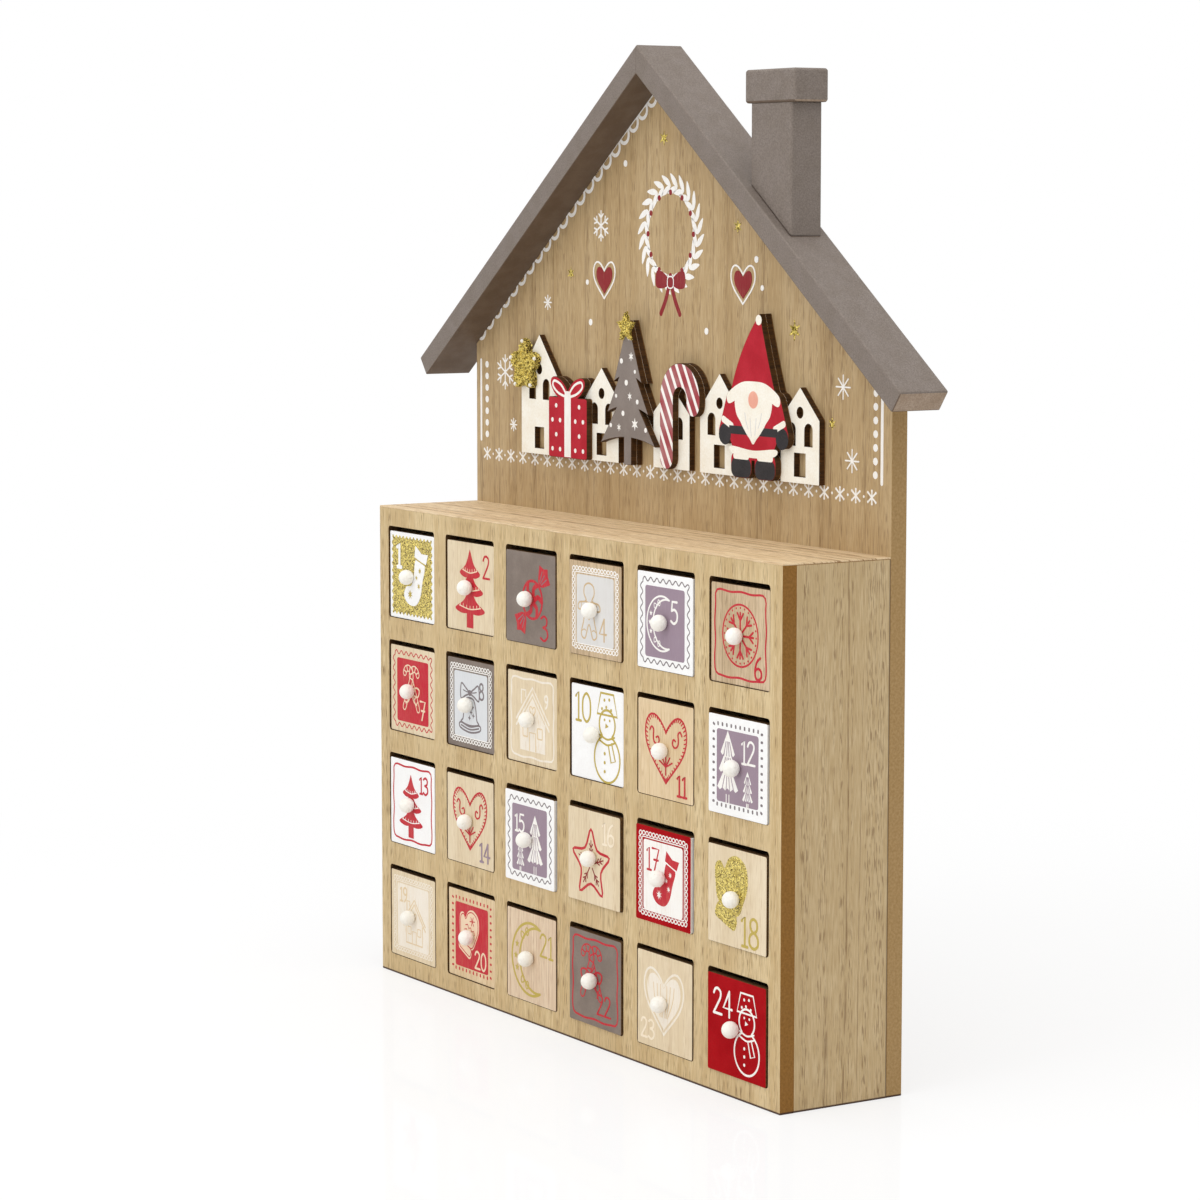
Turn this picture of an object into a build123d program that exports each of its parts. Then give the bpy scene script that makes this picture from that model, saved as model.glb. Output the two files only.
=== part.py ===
"""Wooden advent calendar: a box of numbered drawers in front of a house-shaped panel with a roof.

Millimetres. X runs to the right, Y to the back and Z up. The origin lies on the table, under the
middle of the box.
"""

import os
from math import cos, pi, radians, sin, sqrt, tan

from build123d import *

# Front frame and its windows
columns = 6
rows = 4
window_width = 39.4
window_height = 39.0
window_corner_radius = 1.5
bar_width = 9.7
rail_height = 9.6
side_margin = 7.55
end_margin = 8.1
frame_thickness = 6.0

# Box behind the frame
box_depth = 55.0
side_thickness = 6.0
top_thickness = 6.0
veneer_thickness = 0.6
panel_thickness = 7.0
shelf_thickness = 3.0
divider_thickness = 3.0
lap_clearance = 0.1

# Gable and roof
gable_wall = 68.0
roof_pitch = 36.4
roof_thickness = 9.0
roof_depth = 21.5
roof_overhang = 19.0
roof_edge_radius = 0.8

# Chimney on the right-hand slope
chimney_x = 87.5
stack_width = 26.5
stack_depth = 14.0
stack_rise = 40.0
stack_edge_radius = 1.0
cap_height = 12.5
cap_side_overhang = 3.0
cap_front_overhang = 0.8
cap_edge_radius = 1.2

# Drawers
front_thickness = 3.0
front_recess = 0.4
front_side_clearance = 0.7
front_top_clearance = 2.0
front_corner_radius = 0.8
runner_clearance = 0.2
tray_wall = 2.5
tray_height = 30.0
tray_side_setback = 0.5
tray_back_clearance = 0.5
knob_diameter = 6.4
knob_seat_diameter = 3.0
peg_diameter = 2.4
peg_clearance = 0.05

# Drawers that are not pushed quite home: number and distance
left_ajar = {3: 0.7, 4: 1.0, 5: 0.8, 11: 0.4, 12: 1.0, 13: 0.4, 14: 0.5, 15: 1.4, 16: 1.6, 17: 1.4,
             18: 1.0, 19: 0.4, 21: 0.6, 22: 1.1, 23: 0.6, 24: 1.0}

# Cut-outs on the gable
cutout_thickness = 2.7
cutout_rise = 23.5
pane_width = 5.4
pane_height = 6.0
pane_spacing = 11.0
pane_drop = 7.0
door_width = 7.5
door_height = 9.0
door_step = 2.4
attic_diameter = 4.4
attic_rise = 2.6
houses = ((-93.0, 29.0, 33.0, 50.0), (-44.0, 26.0, 25.0, 38.0), (8.0, 26.0, 22.0, 33.0),
          (42.0, 27.0, 25.0, 39.0), (96.0, 25.0, 24.0, 36.0))
gift_x = -66.0
gift_width = 30.0
gift_height = 25.0
gift_corner_radius = 1.2
bow_length = 15.0
bow_width = 7.5
bow_tilt = 28.0
tree_x = -20.0
tree_half_width = 20.5
tree_tier_height = 25.0
tree_tier_step = 12.5
tree_tier_taper = 5.0
tree_tier_sag = 3.0
tree_tiers = 3
trunk_width = 5.6
trunk_height = 11.0
star_radius = 6.0
star_waist = 2.7
star_points = 5
star_thickness = 1.5
cane_x = 8.5
cane_width = 9.5
cane_hook_radius = 9.5
cane_stem = 28.0
cane_hook_sweep = 190.0
gnome_x = 69.0
gnome_body_width = 33.0
gnome_body_height = 32.0
gnome_body_radius = 12.0
gnome_hem = 7.0
boot_width = 14.0
boot_height = 10.0
boot_radius = 3.5
boot_spacing = 16.0
arm_length = 22.0
arm_width = 9.0
arm_spread = 22.0
hat_width = 34.0
hat_height = 36.0
hat_lean = 4.0
hat_bulge = 1.5
sprig_x = -102.0
sprig_rise = 37.0
sprig_leaf_length = 11.0
sprig_leaf_width = 7.0
sprig_leaves = 5
sprig_berry_diameter = 6.0

# Places that follow from the sizes above
column_pitch = window_width + bar_width
row_pitch = window_height + rail_height
box_width = columns * window_width + (columns - 1) * bar_width + 2 * side_margin
box_height = rows * window_height + (rows - 1) * rail_height + 2 * end_margin
carcass_height = box_height - veneer_thickness
front_y = -box_depth / 2
back_y = box_depth / 2
frame_back_y = front_y + frame_thickness
panel_front_y = back_y - panel_thickness
cell_depth = panel_front_y - frame_back_y
cell_middle_y = (panel_front_y + frame_back_y) / 2
inner_width = box_width - 2 * side_thickness
crate_top = carcass_height - top_thickness
lap_length = cell_depth / 2 + lap_clearance
slope = tan(radians(roof_pitch))
eave_height = box_height + gable_wall
gable_peak = eave_height + slope * box_width / 2
ridge_top = gable_peak + roof_thickness / cos(radians(roof_pitch))
roof_middle_y = back_y - roof_depth / 2
cap_underside = ridge_top - slope * chimney_x + stack_rise
cutout_base = box_height + cutout_rise
cutout_front_y = panel_front_y - cutout_thickness
drawer_face_y = front_y + front_recess
front_back_y = drawer_face_y + front_thickness
front_width = window_width - 2 * front_side_clearance
front_height = window_height - runner_clearance - front_top_clearance
knob_z = runner_clearance + front_height / 2
tray_width = front_width - 2 * tray_side_setback
tray_back_y = panel_front_y - tray_back_clearance
tray_length = tray_back_y - front_back_y
tray_middle_y = (tray_back_y + front_back_y) / 2
tray_wall_height = tray_height - tray_wall


def upright(depth):
    """Plane at a depth along Y, seen from the front: its x is X and its y is Z."""
    return Plane.XZ.offset(-depth)


def sill(row):
    """Height of the window sills of a row, counted from the top."""
    return end_margin + (rows - 1 - row) * row_pitch


def column_x(column):
    """Middle of a column of windows, counted from the left."""
    return (column - (columns - 1) / 2) * column_pitch


# Front frame: one sheet with a window for each drawer
with BuildPart() as front_frame:
    with BuildSketch(upright(frame_back_y)):
        with Locations((0, carcass_height / 2)):
            Rectangle(box_width, carcass_height)
        for row in range(rows):
            for column in range(columns):
                with Locations((column_x(column), sill(row) + window_height / 2)):
                    RectangleRounded(window_width, window_height, window_corner_radius, mode=Mode.SUBTRACT)
    extrude(amount=frame_thickness)

# Sides, bottom and top of the box
with BuildPart() as right_side:
    with Locations(((box_width - side_thickness) / 2, cell_middle_y, carcass_height / 2)):
        Box(side_thickness, cell_depth, carcass_height)

with BuildPart() as left_side:
    mirror(right_side.part, about=Plane.YZ)

with BuildPart() as bottom_board:
    with Locations((0, cell_middle_y, end_margin / 2)):
        Box(inner_width, cell_depth, end_margin)

with BuildPart() as top_board:
    with Locations((0, cell_middle_y, crate_top + top_thickness / 2)):
        Box(inner_width, cell_depth, top_thickness)

with BuildPart() as top_veneer:
    with Locations((0, (front_y + panel_front_y) / 2, carcass_height + veneer_thickness / 2)):
        Box(box_width, panel_front_y - front_y, veneer_thickness)

# Egg crate: shelves slotted from the front, dividers slotted from the back
shelves = []
for level in range(1, rows):
    with BuildPart() as shelf:
        with BuildSketch(Plane.XY.offset(end_margin + level * row_pitch - shelf_thickness)):
            with Locations((0, cell_middle_y)):
                Rectangle(inner_width, cell_depth)
            for joint in range(1, columns):
                with Locations((column_x(joint - 0.5), frame_back_y + lap_length / 2)):
                    Rectangle(divider_thickness + 2 * lap_clearance, lap_length, mode=Mode.SUBTRACT)
        extrude(amount=shelf_thickness)
    shelf.part.label = f"shelf_{level}"
    shelves.append(shelf.part)

dividers = []
for upright_number in range(1, columns):
    with BuildPart() as divider:
        with BuildSketch(Plane.YZ.offset(column_x(upright_number - 0.5) - divider_thickness / 2)):
            with Locations((cell_middle_y, (end_margin + crate_top) / 2)):
                Rectangle(cell_depth, crate_top - end_margin)
            for level in range(1, rows):
                slot_z = end_margin + level * row_pitch - shelf_thickness / 2
                with Locations((panel_front_y - lap_length / 2, slot_z)):
                    Rectangle(lap_length, shelf_thickness + 2 * lap_clearance, mode=Mode.SUBTRACT)
        extrude(amount=divider_thickness)
    divider.part.label = f"divider_{upright_number}"
    dividers.append(divider.part)

# Back panel and gable in one sheet
with BuildPart() as back_panel:
    with BuildSketch(upright(back_y)):
        with BuildLine():
            Polyline((-box_width / 2, 0), (box_width / 2, 0), (box_width / 2, eave_height),
                     (0, gable_peak), (-box_width / 2, eave_height), close=True)
        make_face()
    extrude(amount=panel_thickness)

# Roof boards: mitred at the ridge, ends square to the slope, upper edges eased
end_x = box_width / 2 + roof_overhang
end_z = gable_peak - slope * end_x
with BuildPart() as roof_right:
    with BuildSketch(upright(back_y)):
        with BuildLine():
            Polyline((0, gable_peak), (end_x, end_z),
                     (end_x + roof_thickness * sin(radians(roof_pitch)),
                      end_z + roof_thickness * cos(radians(roof_pitch))),
                     (0, ridge_top), close=True)
        make_face()
    extrude(amount=roof_depth)
    slope_face = roof_right.faces().sort_by(lambda face: face.normal_at().Z)[-1]
    end_face = roof_right.faces().sort_by(Axis.X)[-1]
    outer_edges = slope_face.edges() + end_face.edges()
    fillet(outer_edges.filter_by(lambda edge: edge.center().X > roof_thickness), roof_edge_radius)

with BuildPart() as roof_left:
    mirror(roof_right.part, about=Plane.YZ)

# Chimney: a stack cut to the slope, with a wider cap
stack_left = chimney_x - stack_width / 2
stack_right = chimney_x + stack_width / 2
with BuildPart() as chimney_stack:
    with BuildSketch(upright(roof_middle_y + stack_depth / 2)):
        with BuildLine():
            Polyline((stack_left, ridge_top - slope * stack_left),
                     (stack_right, ridge_top - slope * stack_right),
                     (stack_right, cap_underside), (stack_left, cap_underside), close=True)
        make_face()
    extrude(amount=stack_depth)
    fillet(chimney_stack.edges().filter_by(Axis.Z), stack_edge_radius)

with BuildPart() as chimney_cap:
    with Locations((chimney_x, roof_middle_y, cap_underside + cap_height / 2)):
        Box(stack_width + 2 * cap_side_overhang, stack_depth + 2 * cap_front_overhang, cap_height)
    fillet(chimney_cap.edges(), cap_edge_radius)

# Outlines of the cut-outs, each about its own foot
with BuildSketch() as gift_outline:
    with Locations((0, gift_height / 2)):
        RectangleRounded(gift_width, gift_height, gift_corner_radius)
    for side in (-1, 1):
        bow_x = side * bow_length / 2 * cos(radians(bow_tilt))
        bow_z = gift_height + bow_length / 2 * sin(radians(bow_tilt))
        with Locations(Location((bow_x, bow_z), side * bow_tilt)):
            Ellipse(bow_length / 2, bow_width / 2)

with BuildSketch() as tree_outline:
    with Locations((0, trunk_height / 2)):
        Rectangle(trunk_width, trunk_height)
    for tier in range(tree_tiers):
        tier_base = trunk_height - tree_tier_sag + tier * tree_tier_step
        tip = tree_half_width - tier * tree_tier_taper
        with BuildLine():
            Polyline((tip, tier_base), (0, tier_base + tree_tier_height), (-tip, tier_base))
            ThreePointArc((-tip, tier_base), (0, tier_base + tree_tier_sag), (tip, tier_base))
        make_face()
tree_top = trunk_height - tree_tier_sag + (tree_tiers - 1) * tree_tier_step + tree_tier_height

with BuildSketch() as star_outline:
    with BuildLine():
        star_corners = []
        for corner in range(2 * star_points):
            reach = star_waist if corner % 2 else star_radius
            turn = corner * pi / star_points
            star_corners.append((reach * sin(turn), reach * cos(turn)))
        Polyline(*star_corners, close=True)
    make_face()

with BuildSketch() as cane_outline:
    with BuildLine():
        stem = Line((0, cane_width / 2), (0, cane_stem))
        hook = JernArc(stem @ 1, stem % 1, cane_hook_radius, -cane_hook_sweep)
    trace(line_width=cane_width)
    with Locations(stem @ 0, hook @ 1):
        Circle(cane_width / 2)

with BuildSketch() as gnome_outline:
    with Locations((-boot_spacing / 2, boot_height / 2), (boot_spacing / 2, boot_height / 2)):
        RectangleRounded(boot_width, boot_height, boot_radius)
    with Locations((0, gnome_hem + gnome_body_height / 2)):
        RectangleRounded(gnome_body_width, gnome_body_height, gnome_body_radius)
    arm_z = gnome_hem + gnome_body_height / 2
    for side in (-1, 1):
        with Locations(Location((side * gnome_body_width / 2, arm_z), side * arm_spread)):
            SlotOverall(arm_length, arm_width, rotation=90)
    brim_z = gnome_hem + gnome_body_height - gnome_body_radius
    hat_tip = (hat_lean, brim_z + hat_height)
    hat_middle_x = hat_width / 4 + hat_bulge
    hat_middle_z = brim_z + hat_height / 2
    with BuildLine():
        Line((-hat_width / 2, brim_z), (hat_width / 2, brim_z))
        ThreePointArc((hat_width / 2, brim_z), (hat_middle_x, hat_middle_z), hat_tip)
        ThreePointArc(hat_tip, (-hat_middle_x, hat_middle_z), (-hat_width / 2, brim_z))
    make_face()

with BuildSketch() as leaf_outline:
    with BuildLine():
        ThreePointArc((0, 0), (sprig_leaf_length / 2, sprig_leaf_width / 2), (sprig_leaf_length, 0))
        ThreePointArc((sprig_leaf_length, 0), (sprig_leaf_length / 2, -sprig_leaf_width / 2), (0, 0))
    make_face()

with BuildSketch() as sprig_outline:
    Circle(sprig_berry_diameter / 2)
    for leaf in range(sprig_leaves):
        with Locations(Location((0, 0), 90 + leaf * 360 / sprig_leaves)):
            add(leaf_outline.sketch)

# Back layer of the cut-outs: a row of houses joined by the outlines of the front pieces
with BuildPart() as village_cutout:
    with BuildSketch(upright(panel_front_y)):
        for house_x, house_width, eaves, ridge in houses:
            with BuildLine():
                Polyline((house_x - house_width / 2, cutout_base), (house_x + house_width / 2, cutout_base),
                         (house_x + house_width / 2, cutout_base + eaves), (house_x, cutout_base + ridge),
                         (house_x - house_width / 2, cutout_base + eaves), close=True)
            make_face()
        for house_x, house_width, eaves, ridge in houses:
            with Locations((house_x, cutout_base + eaves - pane_drop)):
                with GridLocations(pane_spacing, pane_height, 2, 1):
                    Rectangle(pane_width, pane_height, mode=Mode.SUBTRACT)
            with Locations((house_x, cutout_base + eaves - pane_drop + pane_height / 2)):
                with GridLocations(pane_spacing, pane_height, 2, 1):
                    Circle(pane_width / 2, mode=Mode.SUBTRACT)
            with Locations((house_x, cutout_base + door_step + door_height / 2)):
                Rectangle(door_width, door_height, mode=Mode.SUBTRACT)
            with Locations((house_x, cutout_base + eaves + attic_rise)):
                Circle(attic_diameter / 2, mode=Mode.SUBTRACT)
        for outline, outline_x in ((gift_outline, gift_x), (tree_outline, tree_x),
                                   (cane_outline, cane_x), (gnome_outline, gnome_x)):
            with Locations((outline_x, cutout_base)):
                add(outline.sketch)
    extrude(amount=cutout_thickness)

# Front layer of the cut-outs
with BuildPart() as gift_cutout:
    with BuildSketch(upright(cutout_front_y)):
        with Locations((gift_x, cutout_base)):
            add(gift_outline.sketch)
    extrude(amount=cutout_thickness)

with BuildPart() as tree_cutout:
    with BuildSketch(upright(cutout_front_y)):
        with Locations((tree_x, cutout_base)):
            add(tree_outline.sketch)
    extrude(amount=cutout_thickness)

with BuildPart() as cane_cutout:
    with BuildSketch(upright(cutout_front_y)):
        with Locations((cane_x, cutout_base)):
            add(cane_outline.sketch)
    extrude(amount=cutout_thickness)

with BuildPart() as gnome_cutout:
    with BuildSketch(upright(cutout_front_y)):
        with Locations((gnome_x, cutout_base)):
            add(gnome_outline.sketch)
    extrude(amount=cutout_thickness)

with BuildPart() as sprig_cutout:
    with BuildSketch(upright(cutout_front_y)):
        with Locations((sprig_x, cutout_base + sprig_rise)):
            add(sprig_outline.sketch)
    extrude(amount=cutout_thickness)

with BuildPart() as star_cutout:
    with BuildSketch(upright(cutout_front_y - cutout_thickness)):
        with Locations((tree_x, cutout_base + tree_top - star_waist)):
            add(star_outline.sketch)
    extrude(amount=star_thickness)

# One drawer, about the middle of its window sill
with BuildPart() as drawer_front:
    with BuildSketch(upright(front_back_y)):
        with Locations((0, knob_z)):
            RectangleRounded(front_width, front_height, front_corner_radius)
            Circle(peg_diameter / 2 + peg_clearance, mode=Mode.SUBTRACT)
    extrude(amount=front_thickness)

with BuildPart() as tray_base:
    with Locations((0, tray_middle_y, runner_clearance + tray_wall / 2)):
        Box(tray_width, tray_length, tray_wall)

tray_wall_z = runner_clearance + tray_wall + tray_wall_height / 2
with BuildPart() as tray_right:
    with Locations(((tray_width - tray_wall) / 2, tray_middle_y, tray_wall_z)):
        Box(tray_wall, tray_length, tray_wall_height)

with BuildPart() as tray_left:
    mirror(tray_right.part, about=Plane.YZ)

with BuildPart() as tray_back:
    with Locations((0, tray_back_y - tray_wall / 2, tray_wall_z)):
        Box(tray_width - 2 * tray_wall, tray_wall, tray_wall_height)

bead_radius = knob_diameter / 2
seat_radius = knob_seat_diameter / 2
bead_middle = sqrt(bead_radius**2 - seat_radius**2)
knob_plane = Plane(origin=(0, drawer_face_y, knob_z), x_dir=(0, -1, 0), z_dir=(1, 0, 0))
with BuildPart() as knob:
    with BuildSketch(knob_plane):
        with BuildLine():
            Polyline((bead_middle + bead_radius, 0), (-front_thickness, 0),
                     (-front_thickness, peg_diameter / 2), (0, peg_diameter / 2), (0, seat_radius))
            ThreePointArc((0, seat_radius), (bead_middle, bead_radius), (bead_middle + bead_radius, 0))
        make_face()
    revolve(axis=Axis((0, drawer_face_y, knob_z), (0, 1, 0)))

drawer_builders = (drawer_front, tray_base, tray_left, tray_right, tray_back, knob)
drawer_pieces = [builder.part.solid() for builder in drawer_builders]
drawers = []
for row in range(rows):
    for column in range(columns):
        number = row * columns + column + 1
        seat = Location((column_x(column), -left_ajar.get(number, 0), sill(row)))
        drawer = Compound([piece.moved(seat) for piece in drawer_pieces])
        drawer.label = f"drawer_{number:02d}"
        drawers.append(drawer)

# Names and files
named = {
    "front_frame": front_frame, "left_side": left_side, "right_side": right_side,
    "top_board": top_board, "bottom_board": bottom_board, "top_veneer": top_veneer, "back_panel": back_panel,
    "roof_left": roof_left, "roof_right": roof_right, "chimney_stack": chimney_stack,
    "chimney_cap": chimney_cap, "village_cutout": village_cutout, "gift_cutout": gift_cutout,
    "tree_cutout": tree_cutout, "star_cutout": star_cutout, "cane_cutout": cane_cutout,
    "gnome_cutout": gnome_cutout, "sprig_cutout": sprig_cutout,
}
pieces = shelves + dividers + drawers
for label, builder in named.items():
    builder.part.label = label
    pieces.append(builder.part)

os.makedirs("parts", exist_ok=True)
for piece in pieces:
    export_step(piece, f"parts/{piece.label}.step")
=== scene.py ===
"""Looks of the wooden advent calendar: veneer, paint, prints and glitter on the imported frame.

Metres in Blender, millimetres in the drawings. X runs to the right, Y to the back and Z up.
"""

import logging
from collections.abc import Callable, Iterable, Sequence
from dataclasses import dataclass, field, replace
from enum import Enum
from math import cos, hypot, pi, radians, sin

import bmesh
import bpy
from bmesh.types import BMFace, BMVert
from bpy.types import Material, Mesh, Node, NodeOutputs, NodeSocket, NodeTree, Scene
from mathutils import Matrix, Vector


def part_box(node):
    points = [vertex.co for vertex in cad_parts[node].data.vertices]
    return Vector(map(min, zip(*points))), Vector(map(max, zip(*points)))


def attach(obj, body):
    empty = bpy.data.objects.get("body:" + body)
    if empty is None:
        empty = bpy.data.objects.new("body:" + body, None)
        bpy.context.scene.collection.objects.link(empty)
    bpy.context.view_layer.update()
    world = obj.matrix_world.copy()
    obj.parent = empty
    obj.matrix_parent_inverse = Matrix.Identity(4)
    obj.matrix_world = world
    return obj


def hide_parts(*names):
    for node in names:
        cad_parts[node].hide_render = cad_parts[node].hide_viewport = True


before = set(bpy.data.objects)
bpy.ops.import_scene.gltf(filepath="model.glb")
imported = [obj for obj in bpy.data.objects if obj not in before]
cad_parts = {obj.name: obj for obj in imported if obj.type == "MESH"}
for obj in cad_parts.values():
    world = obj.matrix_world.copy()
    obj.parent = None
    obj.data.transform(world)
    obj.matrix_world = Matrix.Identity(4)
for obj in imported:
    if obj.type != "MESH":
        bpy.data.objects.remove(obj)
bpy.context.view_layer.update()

LOG = logging.getLogger("calendar")
MM = 0.001
CASING = "casing"
MIDDLE = (0.0, 0.0)
UP = (0.0, 0.0, 1.0)
BACK = (0.0, 1.0, 0.0)
NUMBER = "NodeSocketFloat"
VECTOR = "NodeSocketVector"
GEOMETRY = "NodeSocketGeometry"
Point = tuple[float, float]
Triple = tuple[float, float, float]
Colour = tuple[float, float, float, float]


def tone(red: int, green: int, blue: int) -> Colour:
    """Gives the linear colour of an sRGB colour.

    Args:
        red: Red, 0 to 255.
        green: Green, 0 to 255.
        blue: Blue, 0 to 255.

    Returns:
        The linear colour with an alpha of 1.
    """
    linear = []
    for channel in (red, green, blue):
        share = channel / 255
        linear.append(share / 12.92 if share <= 0.04045 else ((share + 0.055) / 1.055) ** 2.4)
    return (*linear, 1.0)


# Node trees


class Graph:
    """Adds and joins the nodes of one node tree."""

    def __init__(self, tree: NodeTree) -> None:
        """Keeps the tree."""
        self.tree = tree

    def feed(self, node: Node, values: dict) -> None:
        """Links sockets to a node's inputs, by name or index, or sets the inputs' own values.

        Args:
            node: The node.
            values: Sockets or plain values, by input.
        """
        for key, value in values.items():
            if isinstance(value, NodeSocket):
                self.tree.links.new(value, node.inputs[key])
            else:
                node.inputs[key].default_value = value

    def add(self, kind: str, inputs: dict | None = None, **settings: object) -> Node:
        """Adds a node.

        Args:
            kind: Blender's name of the node's type.
            inputs: Values or sockets for its inputs, by name or index.
            **settings: Properties of the node.

        Returns:
            The node.
        """
        node = self.tree.nodes.new(kind)
        for key, value in settings.items():
            setattr(node, key, value)
        self.feed(node, inputs or {})
        return node

    def mix(self, factor: object, first: object, second: object) -> NodeSocket:
        """Mixes two colours by a factor and returns the colour."""
        return self.add("ShaderNodeMix", {0: factor, 6: first, 7: second}, data_type="RGBA").outputs[2]

    def math(self, operation: str, first: object, second: object = 0.0) -> NodeSocket:
        """Returns the result of a sum on one or two numbers."""
        return self.add("ShaderNodeMath", {0: first, 1: second}, operation=operation).outputs[0]

    def times(self, first: object, second: object) -> NodeSocket:
        """Returns the product of two numbers."""
        return self.math("MULTIPLY", first, second)

    def plus(self, first: object, second: object) -> NodeSocket:
        """Returns the sum of two numbers."""
        return self.math("ADD", first, second)

    def minus(self, first: object, second: object) -> NodeSocket:
        """Returns the difference of two numbers."""
        return self.math("SUBTRACT", first, second)

    def vector(self, operation: str, first: object, second: object = (0.0, 0.0, 0.0)) -> NodeSocket:
        """Returns the vector made from two vectors, or from a vector and its scale."""
        key = "Scale" if operation == "SCALE" else 1
        return self.add("ShaderNodeVectorMath", {0: first, key: second}, operation=operation).outputs[0]

    def ramp(self, value: object, low: object, high: object) -> NodeSocket:
        """Returns 0 below low and 1 above high, with a smooth step between."""
        sockets = {"Value": value, "From Min": low, "From Max": high}
        return self.add("ShaderNodeMapRange", sockets, interpolation_type="SMOOTHSTEP").outputs[0]

    def span(self, value: object, low: float, high: float) -> NodeSocket:
        """Returns a value of 0 to 1 stretched to lie between low and high."""
        return self.add("ShaderNodeMapRange", {"Value": value, "To Min": low, "To Max": high}).outputs[0]

    def noise(self, vector: object, scale: float, detail: float = 2.0, distortion: float = 0.0) -> NodeSocket:
        """Returns a noise of 0 to 1 over a coordinate."""
        sockets = {"Vector": vector, "Scale": scale, "Detail": detail, "Distortion": distortion}
        return self.add("ShaderNodeTexNoise", sockets).outputs[0]

    def millimetres(self) -> NodeSocket:
        """Returns the object's own coordinate in millimetres."""
        return self.vector("SCALE", self.add("ShaderNodeTexCoord").outputs["Object"], 1 / MM)

    def along(self, vector: object, direction: Triple) -> NodeSocket:
        """Returns the length of a coordinate along a direction."""
        sockets = {0: vector, 1: direction}
        return self.add("ShaderNodeVectorMath", sockets, operation="DOT_PRODUCT").outputs["Value"]

    def bump(self, height: object, depth: float) -> NodeSocket:
        """Returns the normal of a relief of the given depth in millimetres."""
        return self.add("ShaderNodeBump", {"Height": height, "Distance": depth * MM}).outputs[0]

    def group(self, tree: NodeTree, inputs: dict) -> NodeOutputs:
        """Places a node group, feeds its inputs and returns its outputs."""
        return self.add("ShaderNodeGroup", inputs, node_tree=tree).outputs


def new_group(name: str, kind: str, inputs: dict[str, str],
              outputs: dict[str, str]) -> tuple[Graph, Node, Node]:
    """Starts a node group with named sockets.

    Args:
        name: Name of the group.
        kind: Blender's name of the tree's type.
        inputs: Socket types of the inputs, by name.
        outputs: Socket types of the outputs, by name.

    Returns:
        The graph, and its input and output nodes.
    """
    tree = bpy.data.node_groups.new(name, kind)
    for side, sockets in (("INPUT", inputs), ("OUTPUT", outputs)):
        for label, socket_type in sockets.items():
            tree.interface.new_socket(label, in_out=side, socket_type=socket_type)
    graph = Graph(tree)
    return graph, graph.add("NodeGroupInput"), graph.add("NodeGroupOutput")


# How much the figure of the wood is drawn out along the grain
LONG_STREAK = 0.012
PORE_STREAK = 0.055
SHORT_STREAK = 0.05


def wood_grain_group() -> NodeTree:
    """Builds the grain that the veneers, boards and prints share, in millimetres.

    Returns:
        The node group.
    """
    graph, given, result = new_group(
        "wood_grain", "ShaderNodeTree",
        dict.fromkeys(("Across", "Along", "Ring Width", "Vein Width"), NUMBER),
        dict.fromkeys(("Tone", "Rings", "Pores", "Height"), NUMBER))
    across, length, ring_width, vein_width = given.outputs[:4]
    drawn, fine, short = (
        graph.add("ShaderNodeCombineXYZ", {0: across, 1: graph.times(length, stretch)}).outputs[0]
        for stretch in (LONG_STREAK, PORE_STREAK, SHORT_STREAK))
    bands = graph.noise(drawn, 0.09, 2.0, 0.5)
    streaks = graph.noise(short, 2.0, 3.0)
    shade = graph.plus(graph.times(bands, 0.4), graph.times(streaks, 0.6))
    drift = graph.times(graph.noise(drawn, 0.07, 2.0, 0.2), 3.6)
    wander = graph.plus(drift, graph.times(graph.noise(short, 0.35), 0.14))
    turn = graph.math("FRACT", graph.plus(graph.math("DIVIDE", across, ring_width), wander))
    before_ring = graph.times(graph.minus(1.0, turn), ring_width)
    vein = graph.ramp(before_ring, vein_width, graph.times(vein_width, 0.2))
    strength = graph.span(graph.ramp(graph.noise(drawn, 0.21, 1.0), 0.4, 0.6), 0.25, 1.0)
    broken = graph.ramp(graph.noise(fine, 1.3, 3.0), 0.4, 0.56)
    rings = graph.times(graph.times(vein, strength), broken)
    pore = graph.ramp(graph.noise(fine, 3.0, 1.0), 0.53, 0.64)
    gathered = graph.span(graph.ramp(graph.noise(drawn, 0.35, 2.0), 0.42, 0.6), 0.2, 1.0)
    pores = graph.times(pore, gathered)
    relief = graph.minus(graph.minus(graph.times(streaks, 0.35), pores), graph.times(rings, 0.4))
    graph.feed(result, {"Tone": graph.ramp(shade, 0.38, 0.62), "Rings": rings, "Pores": pores,
                        "Height": relief})
    return graph.tree


def speckle_group() -> NodeTree:
    """Builds the mottled tone and the fine pimples of sprayed paint and fibre board.

    Returns:
        The node group.
    """
    graph, given, result = new_group("speckle", "ShaderNodeTree", {"Vector": VECTOR, "Size": NUMBER},
                                     dict.fromkeys(("Mottle", "Speck", "Grain", "Height"), NUMBER))
    vector, size = given.outputs[:2]
    even = graph.add("ShaderNodeCombineXYZ", {0: size, 1: size, 2: size}).outputs[0]
    scaled = graph.vector("DIVIDE", vector, even)
    graph.feed(result, {"Mottle": graph.ramp(graph.noise(scaled, 0.06, 4.0), 0.3, 0.7),
                        "Speck": graph.ramp(graph.noise(scaled, 1.1, 1.0), 0.66, 0.74),
                        "Grain": graph.ramp(graph.noise(scaled, 0.6), 0.36, 0.64),
                        "Height": graph.noise(scaled, 1.0, 3.0)})
    return graph.tree


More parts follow.
